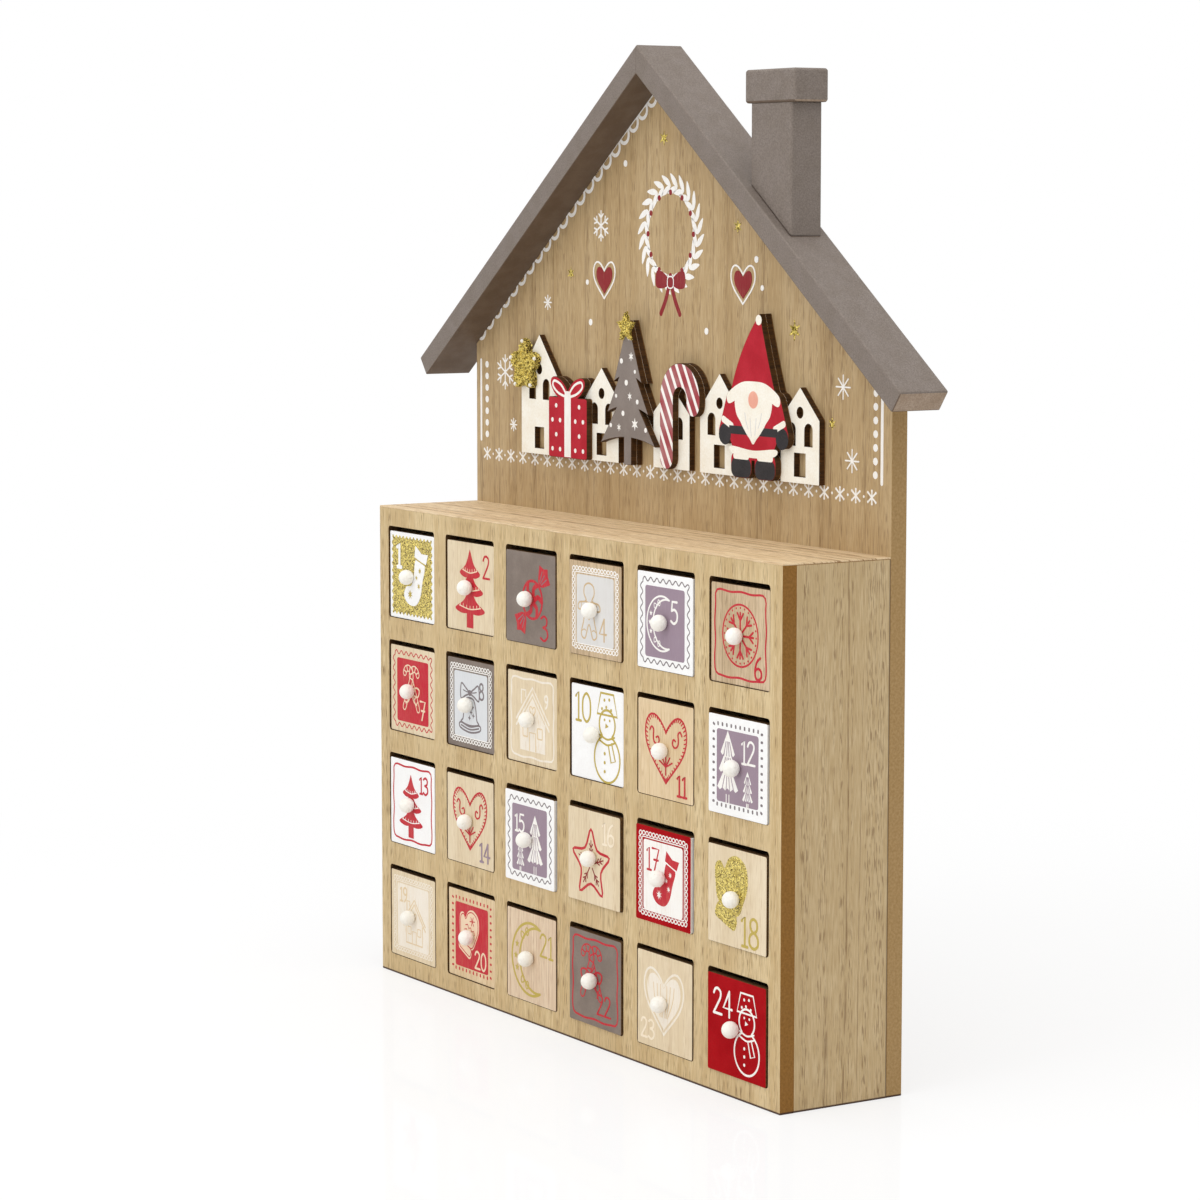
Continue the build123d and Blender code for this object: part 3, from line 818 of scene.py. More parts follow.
class Film:
    """Flat shapes, in millimetres, printed on an upright plane that faces the front.

    Later shapes lie a hair above earlier ones, as the later passes of a screen print do.
    """

    THICKNESS = 0.04
    PASS = 0.002
    SINK = 0.02
    NARROW = 0.46
    WIDE = 0.68
    CAP_ANGLES = (60, 30, 8)

    def __init__(self, origin: Point = MIDDLE, face_y: float = 0.0, passes: int = 0) -> None:
        """Starts an empty film.

        Args:
            origin: X and Z of the drawing's origin, in millimetres.
            face_y: Y of the printed face, in millimetres.
            passes: Passes already printed there, which this film lies on.
        """
        self.aim(origin)
        self.face_y = face_y
        self.inks: list[Finish] = []
        self.passes = passes
        self.mesh_data = bmesh.new()

    def aim(self, origin: Point, turn: float = 0.0, size: float = 1.0, flip: int = 1) -> None:
        """Moves the drawing's origin, and turns, scales and flips what is drawn next."""
        self.origin, self.turn, self.size, self.flip = origin, turn, size, flip

    def _place(self, point: Point, depth: float) -> BMVert:
        """Adds a vertex at a point of the drawing and a depth behind the printed face."""
        (x, z), = moved(flipped([point], self.flip), self.origin, self.turn, self.size)
        return self.mesh_data.verts.new((x * MM, (self.face_y + depth) * MM, z * MM))

    def _heights(self) -> tuple[float, float]:
        """Returns the depths of the front and back of the next shape."""
        self.passes += 1
        return -self.THICKNESS - self.PASS * self.passes, self.SINK

    def _cover(self, faces: Iterable[Sequence[BMVert]], ink: Finish) -> None:
        """Makes the faces of a shape in an ink.

        Args:
            faces: Corners of each face.
            ink: The ink.
        """
        if ink not in self.inks:
            self.inks.append(ink)
        for corners in faces:
            self.mesh_data.faces.new(corners).material_index = self.inks.index(ink)

    def fill(self, outline: Sequence[Point], ink: Finish) -> None:
        """Prints a filled outline.

        Args:
            outline: The outline.
            ink: The ink.
        """
        front, back = ([self._place(point, depth) for point in outline] for depth in self._heights())
        faces = [front, back[::-1]]
        for index in range(len(outline)):
            after = (index + 1) % len(outline)
            faces.append((front[after], front[index], back[index], back[after]))
        self._cover(faces, ink)

    def stroke(self, path: Sequence[Point], width: float, ink: Finish, closed: bool = False) -> None:
        """Prints a line with round ends.

        Args:
            path: Its middle line.
            width: Its width.
            ink: The ink.
            closed: Whether it returns to its start.
        """
        heights = self._heights()
        sides = []
        last, reach = len(path) - 1, width / 2
        for index, (x, z) in enumerate(path):
            before = path[index - 1] if index or closed else path[0]
            after = path[(index + 1) % len(path)] if index < last or closed else path[-1]
            run = hypot(after[0] - before[0], after[1] - before[1]) or 1.0
            ahead = ((after[0] - before[0]) / run, (after[1] - before[1]) / run)
            sections = [(0.0, reach)]
            if not closed and index in (0, last):
                back = -1 if index == 0 else 1
                caps = [(back * reach * cos(radians(a)), reach * sin(radians(a))) for a in self.CAP_ANGLES]
                sections = caps[::-1] + sections if index == 0 else sections + caps
            for shift, half in sections:
                middle = (x + ahead[0] * shift, z + ahead[1] * shift)
                pair = [(middle[0] - side * ahead[1] * half, middle[1] + side * ahead[0] * half)
                        for side in (1, -1)]
                sides.append([self._place(point, depth) for depth in heights for point in pair])
        faces = []
        for (a, b, c, d), (e, f, g, h) in zip(sides, sides[1:] + sides[:1] if closed else sides[1:]):
            faces += [(b, f, e, a), (c, g, h, d), (a, e, g, c), (d, h, f, b)]
        if not closed:
            faces += [(a, c, d, b) for a, b, c, d in (sides[0], sides[-1][::-1])]
        self._cover(faces, ink)

    def heart_line(self, centre: Point, size: float, width: float, ink: Finish) -> None:
        """Prints the outline of a heart, each half from its notch to its tip.

        Args:
            centre: The heart's middle.
            size: Half its width.
            width: Width of the line.
            ink: The ink.
        """
        line = heart(centre, size)
        half = len(line) // 2
        self.stroke(line[:half + 1], width, ink)
        self.stroke([*line[half:], line[0]], width, ink)

    def dot(self, centre: Point, radius: float, ink: Finish) -> None:
        """Prints a round dot."""
        self.fill(arc(centre, radius, steps=12), ink)

    def flake(self, centre: Point, radius: float, width: float, ink: Finish, arms: int = 6,
              barbs: bool = True) -> None:
        """Prints a snow crystal or, without barbs, a plain star of lines.

        Args:
            centre: Its middle.
            radius: Its reach.
            width: Width of its lines.
            ink: The ink.
            arms: How many arms it has.
            barbs: Whether the arms have barbs.
        """
        for arm in range(arms):
            angle = radians(90 + arm * 360 / arms)
            self.stroke([centre, polar(centre, radius, angle)], width, ink)
            for side in (-1, 1) if barbs else ():
                root = polar(centre, 0.55 * radius, angle)
                self.stroke([root, polar(root, 0.36 * radius, angle + side * radians(48))], width, ink)

    def number(self, text: str, corner: Point, height: float, ink: Finish, width: float) -> None:
        """Prints a plain number.

        Args:
            text: The number.
            corner: Its lower left corner.
            height: Its height.
            ink: The ink.
            width: Width of its lines.
        """
        x = corner[0]
        for digit in text:
            for smooth, points in DIGITS[digit]:
                closed = points[0] == points[-1]
                line = moved(points[:len(points) - closed], (x, corner[1]), size=height)
                self.stroke(spline(line, closed) if smooth else line, width, ink, closed)
            x += (self.NARROW if digit == "1" else self.WIDE) * height

    def mesh(self, name: str) -> Mesh:
        """Returns the printed shapes as a mesh with their inks."""
        bmesh.ops.recalc_face_normals(self.mesh_data, faces=self.mesh_data.faces)
        return plain_mesh(name, self.mesh_data, self.inks)


def plain_mesh(name: str, shape: bmesh.types.BMesh, finishes: Iterable[Finish] = ()) -> Mesh:
    """Turns a shape into a mesh with finishes, and frees the shape.

    Args:
        name: Name of the mesh.
        shape: The shape.
        finishes: The finishes that its faces number.

    Returns:
        The mesh.
    """
    made = bpy.data.meshes.new(name)
    shape.to_mesh(made)
    shape.free()
    for finish in finishes:
        made.materials.append(finish.material())
    return made


# Shapes that repeat


def set_copies(graph: Graph, given: Node, result: Node, placing: dict[str, NodeSocket]) -> NodeTree:
    """Ends a tree with real, dressed copies of its shape.

    Args:
        graph: The tree's graph.
        given: The tree's input node.
        result: The tree's output node.
        placing: The points that take the copies, and how the copies are turned and scaled.

    Returns:
        The tree.
    """
    shape = graph.add("GeometryNodeObjectInfo", {"Object": given.outputs["Shape"]}).outputs["Geometry"]
    copies = graph.add("GeometryNodeInstanceOnPoints", {"Instance": shape, **placing}).outputs[0]
    solid = graph.add("GeometryNodeRealizeInstances", {0: copies}).outputs[0]
    dressed = graph.add("GeometryNodeSetMaterial", {"Geometry": solid, "Material": given.outputs["Finish"]})
    graph.feed(result, {0: dressed.outputs[0]})
    return graph.tree


def row_tree() -> NodeTree:
    """Builds the tree that sets copies of a shape along a path, turned to follow it.

    Returns:
        The geometry tree.
    """
    inputs = {"Geometry": GEOMETRY, "Count": "NodeSocketInt", "Shape": "NodeSocketObject",
              "Finish": "NodeSocketMaterial"}
    graph, given, result = new_group("row_along_path", "GeometryNodeTree", inputs, {"Geometry": GEOMETRY})
    path = graph.add("GeometryNodeMeshToCurve", {0: given.outputs["Geometry"]}).outputs[0]
    points = graph.add("GeometryNodeCurveToPoints", {"Curve": path, "Count": given.outputs["Count"]},
                       mode="COUNT").outputs
    turned = graph.add("FunctionNodeAlignRotationToVector", {"Vector": points["Tangent"]},
                       axis="X", pivot_axis="Y").outputs[0]
    return set_copies(graph, given, result, {"Points": points["Points"], "Rotation": turned})


def scatter_tree() -> NodeTree:
    """Builds the tree that scatters tilted copies of a shape over the faces that don't look back.

    Returns:
        The geometry tree.
    """
    inputs = {"Geometry": GEOMETRY, "Density": NUMBER, "Shape": "NodeSocketObject", "Tilt": NUMBER,
              "Seed": "NodeSocketInt", "Finish": "NodeSocketMaterial"}
    graph, given, result = new_group("scatter_over_faces", "GeometryNodeTree", inputs, {"Geometry": GEOMETRY})
    seed, tilt = given.outputs["Seed"], given.outputs["Tilt"]
    normal = graph.add("GeometryNodeInputNormal").outputs[0]
    depth = graph.add("ShaderNodeSeparateXYZ", {0: normal}).outputs["Y"]
    shown = graph.add("FunctionNodeCompare", {0: depth, 1: 0.5}, operation="LESS_THAN").outputs[0]
    points = graph.add("GeometryNodeDistributePointsOnFaces",
                       {"Mesh": given.outputs["Geometry"], "Selection": shown,
                        "Density": given.outputs["Density"], "Seed": seed}).outputs["Points"]
    least, most = (graph.vector("SCALE", (end, end, end), tilt) for end in (-1.0, 1.0))
    turn = graph.add("FunctionNodeRandomValue", {0: least, 1: most, "Seed": seed}, data_type="FLOAT_VECTOR")
    size = graph.add("FunctionNodeRandomValue", {2: 0.6, 3: 1.25, "Seed": seed}, data_type="FLOAT")
    return set_copies(graph, given, result,
                      {"Points": points, "Rotation": turn.outputs[0], "Scale": size.outputs[1]})


ROW_TREE = row_tree()
SCATTER_TREE = scatter_tree()


def grow(tree: NodeTree, base: Mesh, shape: Mesh, values: dict[str, object]) -> Mesh:
    """Runs a geometry tree on a base mesh and keeps the result as a plain mesh.

    Args:
        tree: The tree.
        base: The path or the faces that it works on.
        shape: The mesh that it copies.
        values: Its other inputs, by name.

    Returns:
        The mesh.
    """
    carrier = bpy.data.objects.new("carrier", base)
    pattern = bpy.data.objects.new("pattern", shape)
    for helper in (carrier, pattern):
        bpy.context.scene.collection.objects.link(helper)
    modifier = carrier.modifiers.new("tree", "NODES")
    modifier.node_group = tree
    for socket in tree.interface.items_tree:
        if socket.in_out == "INPUT" and socket.name != "Geometry":
            modifier[socket.identifier] = pattern if socket.name == "Shape" else values[socket.name]
    evaluated = carrier.evaluated_get(bpy.context.evaluated_depsgraph_get())
    made = bpy.data.meshes.new_from_object(evaluated)
    carrier.modifiers.remove(modifier)
    for helper in (carrier, pattern):
        bpy.data.objects.remove(helper)
    return made


def row(line: Sequence[Point], face_y: float, count: int, shape: Film, finish: Finish,
        closed: bool = False) -> Mesh:
    """Prints copies of a shape, drawn about (0, 0) on a face at 0, along a line on an upright plane.

    Args:
        line: The line.
        face_y: Y of the plane, in millimetres.
        count: How many copies.
        shape: The shape.
        finish: Finish of the copies.
        closed: Whether the line returns to its start.

    Returns:
        The mesh.
    """
    corners = [(x * MM, face_y * MM, z * MM) for x, z in line]
    edges = [(index, index + 1) for index in range(len(line) - 1)]
    if closed:
        edges.append((len(line) - 1, 0))
    path = bpy.data.meshes.new("path")
    path.from_pydata(corners, edges, [])
    return grow(ROW_TREE, path, shape.mesh("shape"), {"Count": count, "Finish": finish.material()})


@dataclass(frozen=True)
class Sprinkle:
    """How glitter is sprinkled: flakes on a square millimetre, their width and their tilt."""

    density: float
    size: float
    tilt: float
    finish: Finish = GOLD_GLITTER

    def flake(self) -> Mesh:
        """Makes one flat eight-sided flake.

        Returns:
            The mesh.
        """
        reach, half = self.size * MM / 2, self.size * MM / 7
        made = bpy.data.meshes.new("flake")
        corners = [(reach, 0, 0), (0, 0, reach), (-reach, 0, 0), (0, 0, -reach), (0, -half, 0), (0, half, 0)]
        faces = [(i, (i + 1) % 4, 5) for i in range(4)] + [((i + 1) % 4, i, 4) for i in range(4)]
        made.from_pydata(corners, [], faces)
        return made

    def over(self, base: Mesh, seed: int) -> Mesh:
        """Covers the faces of a mesh, but not those that look back, with flakes.

        Args:
            base: The mesh.
            seed: Seed of the random places.

        Returns:
            The flakes.
        """
        values = {"Density": self.density / MM**2, "Tilt": self.tilt, "Seed": seed,
                  "Finish": self.finish.material()}
        return grow(SCATTER_TREE, base, self.flake(), values)


# Pieces


def publish(name: str, mesh: Mesh, body: str, slot: str, *replaced: str) -> None:
    """Hands a finished mesh in as a piece of the object.

    Args:
        name: Name of the piece.
        mesh: Its mesh, in place and dressed.
        body: Body that it moves with.
        slot: Material slot of the record; not used.
        *replaced: Nodes that it stands for.
    """
    piece = bpy.data.objects.new(name, mesh)
    bpy.context.scene.collection.objects.link(piece)
    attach(piece, body)
    if replaced:
        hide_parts(*replaced)
    LOG.info("%s: %d faces on %s", name, len(mesh.polygons), body)


def joined(name: str, meshes: Sequence[Mesh]) -> Mesh:
    """Joins meshes into one and keeps their materials.

    Args:
        name: Name of the new mesh.
        meshes: The meshes.

    Returns:
        The new mesh.
    """
    result = bpy.data.meshes.new(name)
    collected = bmesh.new()
    for mesh in meshes:
        shift = len(result.materials)
        for material in mesh.materials:
            result.materials.append(material)
        known = len(collected.faces)
        collected.from_mesh(mesh)
        collected.faces.ensure_lookup_table()
        for face in collected.faces[known:]:
            face.material_index += shift
    collected.to_mesh(result)
    collected.free()
    return result


SMALLEST_STEP = 1e-6
FLAT_ANGLE = radians(1.0)
ARRIS_ANGLE = radians(35.0)


def eased(node: str, ease: float, finishes: Sequence[Finish], pick: Callable[[BMFace], int]) -> Mesh:
    """Copies a node's mesh with its arrises eased, and dresses its faces.

    Args:
        node: The node.
        ease: Width of the eased arrises, in millimetres.
        finishes: The finishes.
        pick: Gives the number of the finish of a face.

    Returns:
        The mesh.
    """
    shape = bmesh.new()
    shape.from_mesh(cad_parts[node].data)
    bmesh.ops.remove_doubles(shape, verts=shape.verts, dist=SMALLEST_STEP)
    bmesh.ops.dissolve_limit(shape, angle_limit=FLAT_ANGLE, verts=shape.verts, edges=shape.edges)
    sharp = [edge for edge in shape.edges
             if len(edge.link_faces) == 2 and edge.calc_face_angle() > ARRIS_ANGLE]
    bmesh.ops.bevel(shape, geom=sharp, offset=ease * MM, segments=2, profile=0.5, affect="EDGES",
                    clamp_overlap=True)
    for face in shape.faces:
        face.smooth = False
        face.material_index = pick(face)
    return plain_mesh(node + "_mesh", shape, finishes)


FACING = 0.6
SQUARE = 0.98
LOOKING_DOWN = 0.3
END_LEAN = 0.7


def front_or_edge(face: BMFace) -> int:
    """Gives 0 for a face that looks straight to the front and 1 for the rest."""
    return 0 if face.normal.y < -SQUARE else 1


def side_or_edge(face: BMFace) -> int:
    """Gives 0 for a face that looks straight to the left or right and 1 for the rest."""
    return 0 if abs(face.normal.x) > SQUARE else 1


def span_mm(node: str) -> tuple[Vector, Vector]:
    """Returns the lowest and highest corner of a node in millimetres."""
    low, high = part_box(node)
    return low / MM, high / MM


def corners_mm(node: str) -> list[Vector]:
    """Returns the corners of a node's mesh in millimetres."""
    return [corner.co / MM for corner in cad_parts[node].data.vertices]


@dataclass
class Carcass:
    """The box: front frame, sides, top, bottom, egg crate and the house-shaped back panel."""

    frame_ease: float = 0.35
    veneer_ease: float = 0.15
    side_ease: float = 0.2
    panel_ease: float = 0.3
    edge_band: float = 1.0
    inner_nodes: tuple[str, ...] = ("bottom_board", "top_board", *(f"shelf_{k}" for k in range(1, 4)),
                                    *(f"divider_{k}" for k in range(1, 6)))

    def __post_init__(self) -> None:
        """Reads the front frame's corners from the frame."""
        self.low, self.high = span_mm("front_frame")

    def build(self) -> None:
        """Builds and dresses all the boards."""
        self.build_front()
        self.build_sides()
        mesh = eased("back_panel", self.panel_ease, (GABLE_VENEER, PANEL_EDGE, PANEL_BACK), self.panel_part)
        publish("back_panel_sheet", mesh, CASING, "veneer", "back_panel")
        self.dress_inside()

    def build_front(self) -> None:
        """Makes the veneered front frame and the veneer over the box's top."""
        finishes = (FRONT_VENEER, FRAME_EDGE, WINDOW_EDGE)
        mesh = eased("front_frame", self.frame_ease, finishes, self.frame_part)
        publish("front_frame_board", mesh, CASING, "veneer", "front_frame")
        mesh = eased("top_veneer", self.veneer_ease, (TOP_VENEER,), lambda face: 0)
        publish("top_veneer_sheet", mesh, CASING, "veneer", "top_veneer")

    def frame_part(self, face: BMFace) -> int:
        """Gives 0 for the frame's face, 1 for its outer edges and 2 for the windows' reveals.

        Args:
            face: The face.

        Returns:
            The number of its finish.
        """
        if abs(face.normal.y) > SQUARE:
            return 0
        middle = face.calc_center_median() / MM
        outer = min(middle.x - self.low.x, self.high.x - middle.x, self.high.z - middle.z)
        return 1 if outer < self.edge_band else 2

    def panel_part(self, face: BMFace) -> int:
        """Gives 0 for the panel's front, 1 for its edges and 2 for its back.

        Args:
            face: The face.

        Returns:
            The number of its finish.
        """
        if face.normal.y < -FACING:
            return 0
        return 2 if face.normal.y > FACING else 1

    def build_sides(self) -> None:
        """Makes the two veneered side boards, with a dark seam at the panel behind them."""
        veneer = replace(SIDE_VENEER, seam=span_mm("right_side")[1].y)
        for node in ("left_side", "right_side"):
            mesh = eased(node, self.side_ease, (veneer, FRAME_EDGE), side_or_edge)
            publish(node + "_board", mesh, CASING, "veneer", node)

    def dress_inside(self) -> None:
        """Gives the boards that only show through the windows their plain wood."""
        for node in self.inner_nodes:
            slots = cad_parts[node].data.materials
            slots.clear()
            slots.append(PLAIN_BOARD.material())


@dataclass
class Roof:
    """The painted roof boards and the chimney."""

    nodes: tuple[str, ...] = ("roof_left", "roof_right", "chimney_stack", "chimney_cap")
    ease: float = 0.25

    def pick(self, face: BMFace) -> int:
        """Gives 1 for a face that looks down, which takes painted shade, 2 for the cut end of a board,
        lighter partly by painted light, and 0 for the rest.

        Args:
            face: The face.

        Returns:
            The number of its finish.
        """
        if face.normal.z > -LOOKING_DOWN:
            return 0
        return 2 if abs(face.normal.x) > END_LEAN else 1

    def build(self) -> None:
        """Makes the painted boards and blocks."""
        slope = max((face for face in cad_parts["roof_right"].data.polygons if face.normal.z > FACING),
                    key=lambda face: face.area)
        # The chimney stack's paint has a painted shadow line along its foot, for the gap where it stands on
        # the roof.
        foot_shadow_paint = JointPaint("roof_taupe_joint", *ROOF_TAUPE, **ROOF_GRAIN, normal=tuple(slope.normal),
                                offset=slope.center.dot(slope.normal) / MM)
        for node in self.nodes:
            paint = foot_shadow_paint if node == "chimney_stack" else ROOF_PAINT
            mesh = eased(node, self.ease, (paint, ROOF_UNDERSIDE_SHADE, ROOF_END), self.pick)
            publish(node + "_painted", mesh, CASING, "roof_paint", node)


@dataclass
class Fretwork:
    """The laser-cut pieces on the gable, painted in front and burnt at the edges."""

    ease: float = 0.22
    box_height: float = 25.0
    ribbon: float = 5.0
    dot_spacing: float = 6.0
    pearl: float = 0.9
    pearl_turns: tuple[float, ...] = (20.0, 75.0, 140.0, 190.0, 240.0, 300.0)
    sprinkle: Sprinkle = Sprinkle(5.0, 0.95, 1.1)
    first_seed: int = 11
    paints: dict[str, tuple[Finish, str]] = field(default_factory=lambda: {
        "village_cutout": (CREAM_PAINT, "cream_paint"), "gift_cutout": (RED_PAINT, "red_paint"),
        "tree_cutout": (GREY_PAINT, "taupe_paint"), "cane_cutout": (STRIPE_PAINT, "red_paint"),
        "gnome_cutout": (RED_PAINT, "red_paint"), "sprig_cutout": (GOLD_GLITTER, "gold_glitter"),
        "star_cutout": (GOLD_GLITTER, "gold_glitter")})

    def build(self) -> None:
        """Makes the cut-outs, then prints their details and adds their glitter and pearls."""
        for node, (paint, slot) in self.paints.items():
            mesh = eased(node, self.ease, (paint, BURNT_PLY), front_or_edge)
            publish(node + "_painted", mesh, CASING, slot, node)
        printers = {"gift": self.print_gift, "tree": self.print_tree, "gnome": self.print_gnome}
        for subject, draw in printers.items():
            low, high = span_mm(subject + "_cutout")
            film = Film(((low.x + high.x) / 2, low.z), low.y)
            draw(film)
            publish(subject + "_cutout_print", film.mesh(subject + "_print"), CASING, "cream_paint")
        for number, node in enumerate(("sprig_cutout", "star_cutout")):
            mesh = self.sprinkle.over(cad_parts[node].data.copy(), self.first_seed + number)
            publish(node + "_flakes", mesh, CASING, "gold_glitter")
        self.thread_pearls()

    def print_gift(self, film: Film) -> None:
        """Prints the white dots and the ribbon of the parcel, about the middle of its foot.

        Args:
            film: The film that takes them.
        """
        for level in range(4):
            for place in range(5):
                x = (place - 2 + 0.5 * (level % 2)) * self.dot_spacing
                if self.ribbon / 2 + 1.2 < abs(x) < 14.0:
                    film.dot((x, 3.4 + level * self.dot_spacing), 0.95, WHITE_INK)
        film.fill(block(self.ribbon / 2, 0.4, self.box_height), WHITE_INK)
        loop = ((1.0, 25.6), (5.0, 30.0), (10.4, 31.6), (11.4, 29.4), (7.0, 26.6))
        for side in (-1, 1):
            film.stroke(spline(flipped(loop, side), closed=True), 1.0, WHITE_INK, closed=True)
        film.fill(rounded(4.6, 4.0, 1.4, (0.0, self.box_height + 0.6)), WHITE_INK)

    def print_tree(self, film: Film) -> None:
        """Prints the white dots and small stars on the tree, about the middle of its foot.

        Args:
            film: The film that takes them.
        """
        for x, z, radius in ((0.8, 51.0, 0.9), (-4.6, 41.6, 1.1), (5.4, 37.6, 0.8), (-1.0, 33.0, 1.2),
                             (-8.6, 27.4, 0.8), (7.2, 25.6, 1.0), (-12.6, 15.4, 0.9), (13.4, 14.6, 1.0),
                             (-3.4, 20.6, 1.1)):
            film.dot((x, z), radius, WHITE_INK)
        for x, z, radius in ((2.6, 43.6, 1.9), (5.4, 16.6, 2.6), (-6.4, 14.8, 1.6), (1.6, 27.6, 1.7)):
            film.fill(star((x, z), radius, radius * 0.4, 6), WHITE_INK)

    def print_gnome(self, film: Film) -> None:
        """Paints the gnome's clothes, beard and nose, about the middle of its foot.

        Args:
            film: The film that takes them.
        """
        for side in (-1, 1):
            film.fill(rounded(13.4, 7.4, 3.0, (side * 8.0, 3.9)), BLACK_PAINT)
            film.fill(rounded(10.6, 2.6, 1.2, (side * 8.0, 8.4)), CREAM_PAINT)
            film.fill(moved(rounded(8.2, 8.0, 3.8), (side * 19.2, 16.2), side * 22.0), BLACK_PAINT)
            film.fill(moved(rounded(8.6, 2.6, 1.2), (side * 17.4, 20.8), side * 22.0), CREAM_PAINT)
        hem = [(-14.0, 9.2), (0.0, 8.0), (14.0, 9.2), (15.0, 12.0), (0.0, 10.9), (-15.0, 12.0)]
        film.fill(spline(hem, closed=True), CREAM_PAINT)
        film.fill(block(16.2, 16.6, 19.8), BLACK_PAINT)
        film.stroke(rounded(5.0, 4.2, 0.6, (0.0, 18.2)), 0.9, GOLD_INK, closed=True)
        beard = mirrored([(0.0, 34.0), (9.0, 34.4), (12.4, 30.0), (11.4, 24.6), (8.6, 21.6), (6.8, 19.4),
                          (4.2, 16.8), (2.2, 15.2), (0.0, 13.2)])
        film.fill(spline(beard, closed=True, steps=4), CREAM_PAINT)
        for x, z, drop in ((-5.6, 25.0, 6.0), (-2.0, 23.0, 6.6), (2.0, 23.2, 6.4), (5.6, 25.2, 5.6)):
            film.stroke(spline([(x, z), (x * 0.86, z - drop * 0.5), (x * 0.6, z - drop)]), 0.45, PALE_INK)
        band = [(-16.4, 28.2), (-8.0, 31.0), (0.0, 31.8), (8.0, 31.0), (16.4, 28.2), (17.2, 32.0),
                (8.6, 36.4), (0.0, 37.2), (-8.6, 36.4), (-17.2, 32.0)]
        film.fill(spline(band, closed=True), CREAM_PAINT)
        film.fill(arc((0.0, 30.2), 3.3, steps=24), SKIN_PAINT)
        film.dot((3.4, 60.6), 2.0, CREAM_PAINT)

    def thread_pearls(self) -> None:
        """Sets white pearls at the rim of the sprig."""
        low, high = span_mm("sprig_cutout")
        middle = (low + high) / 2
        rim = [corner for corner in corners_mm("sprig_cutout") if corner.y < low.y + 0.01]
        shape = bmesh.new()
        for turn in self.pearl_turns:
            ahead = Vector((cos(radians(turn)), 0.0, sin(radians(turn))))
            place = max(rim, key=lambda corner: (corner - middle).dot(ahead)) - self.pearl * ahead
            ball = bmesh.ops.create_icosphere(shape, subdivisions=2, radius=self.pearl * MM)["verts"]
            bmesh.ops.translate(shape, verts=ball, vec=place * MM)
        for face in shape.faces:
            face.smooth = True
        publish("sprig_pearls", plain_mesh("pearls", shape, (KNOB_PAINT,)), CASING, "cream_paint")


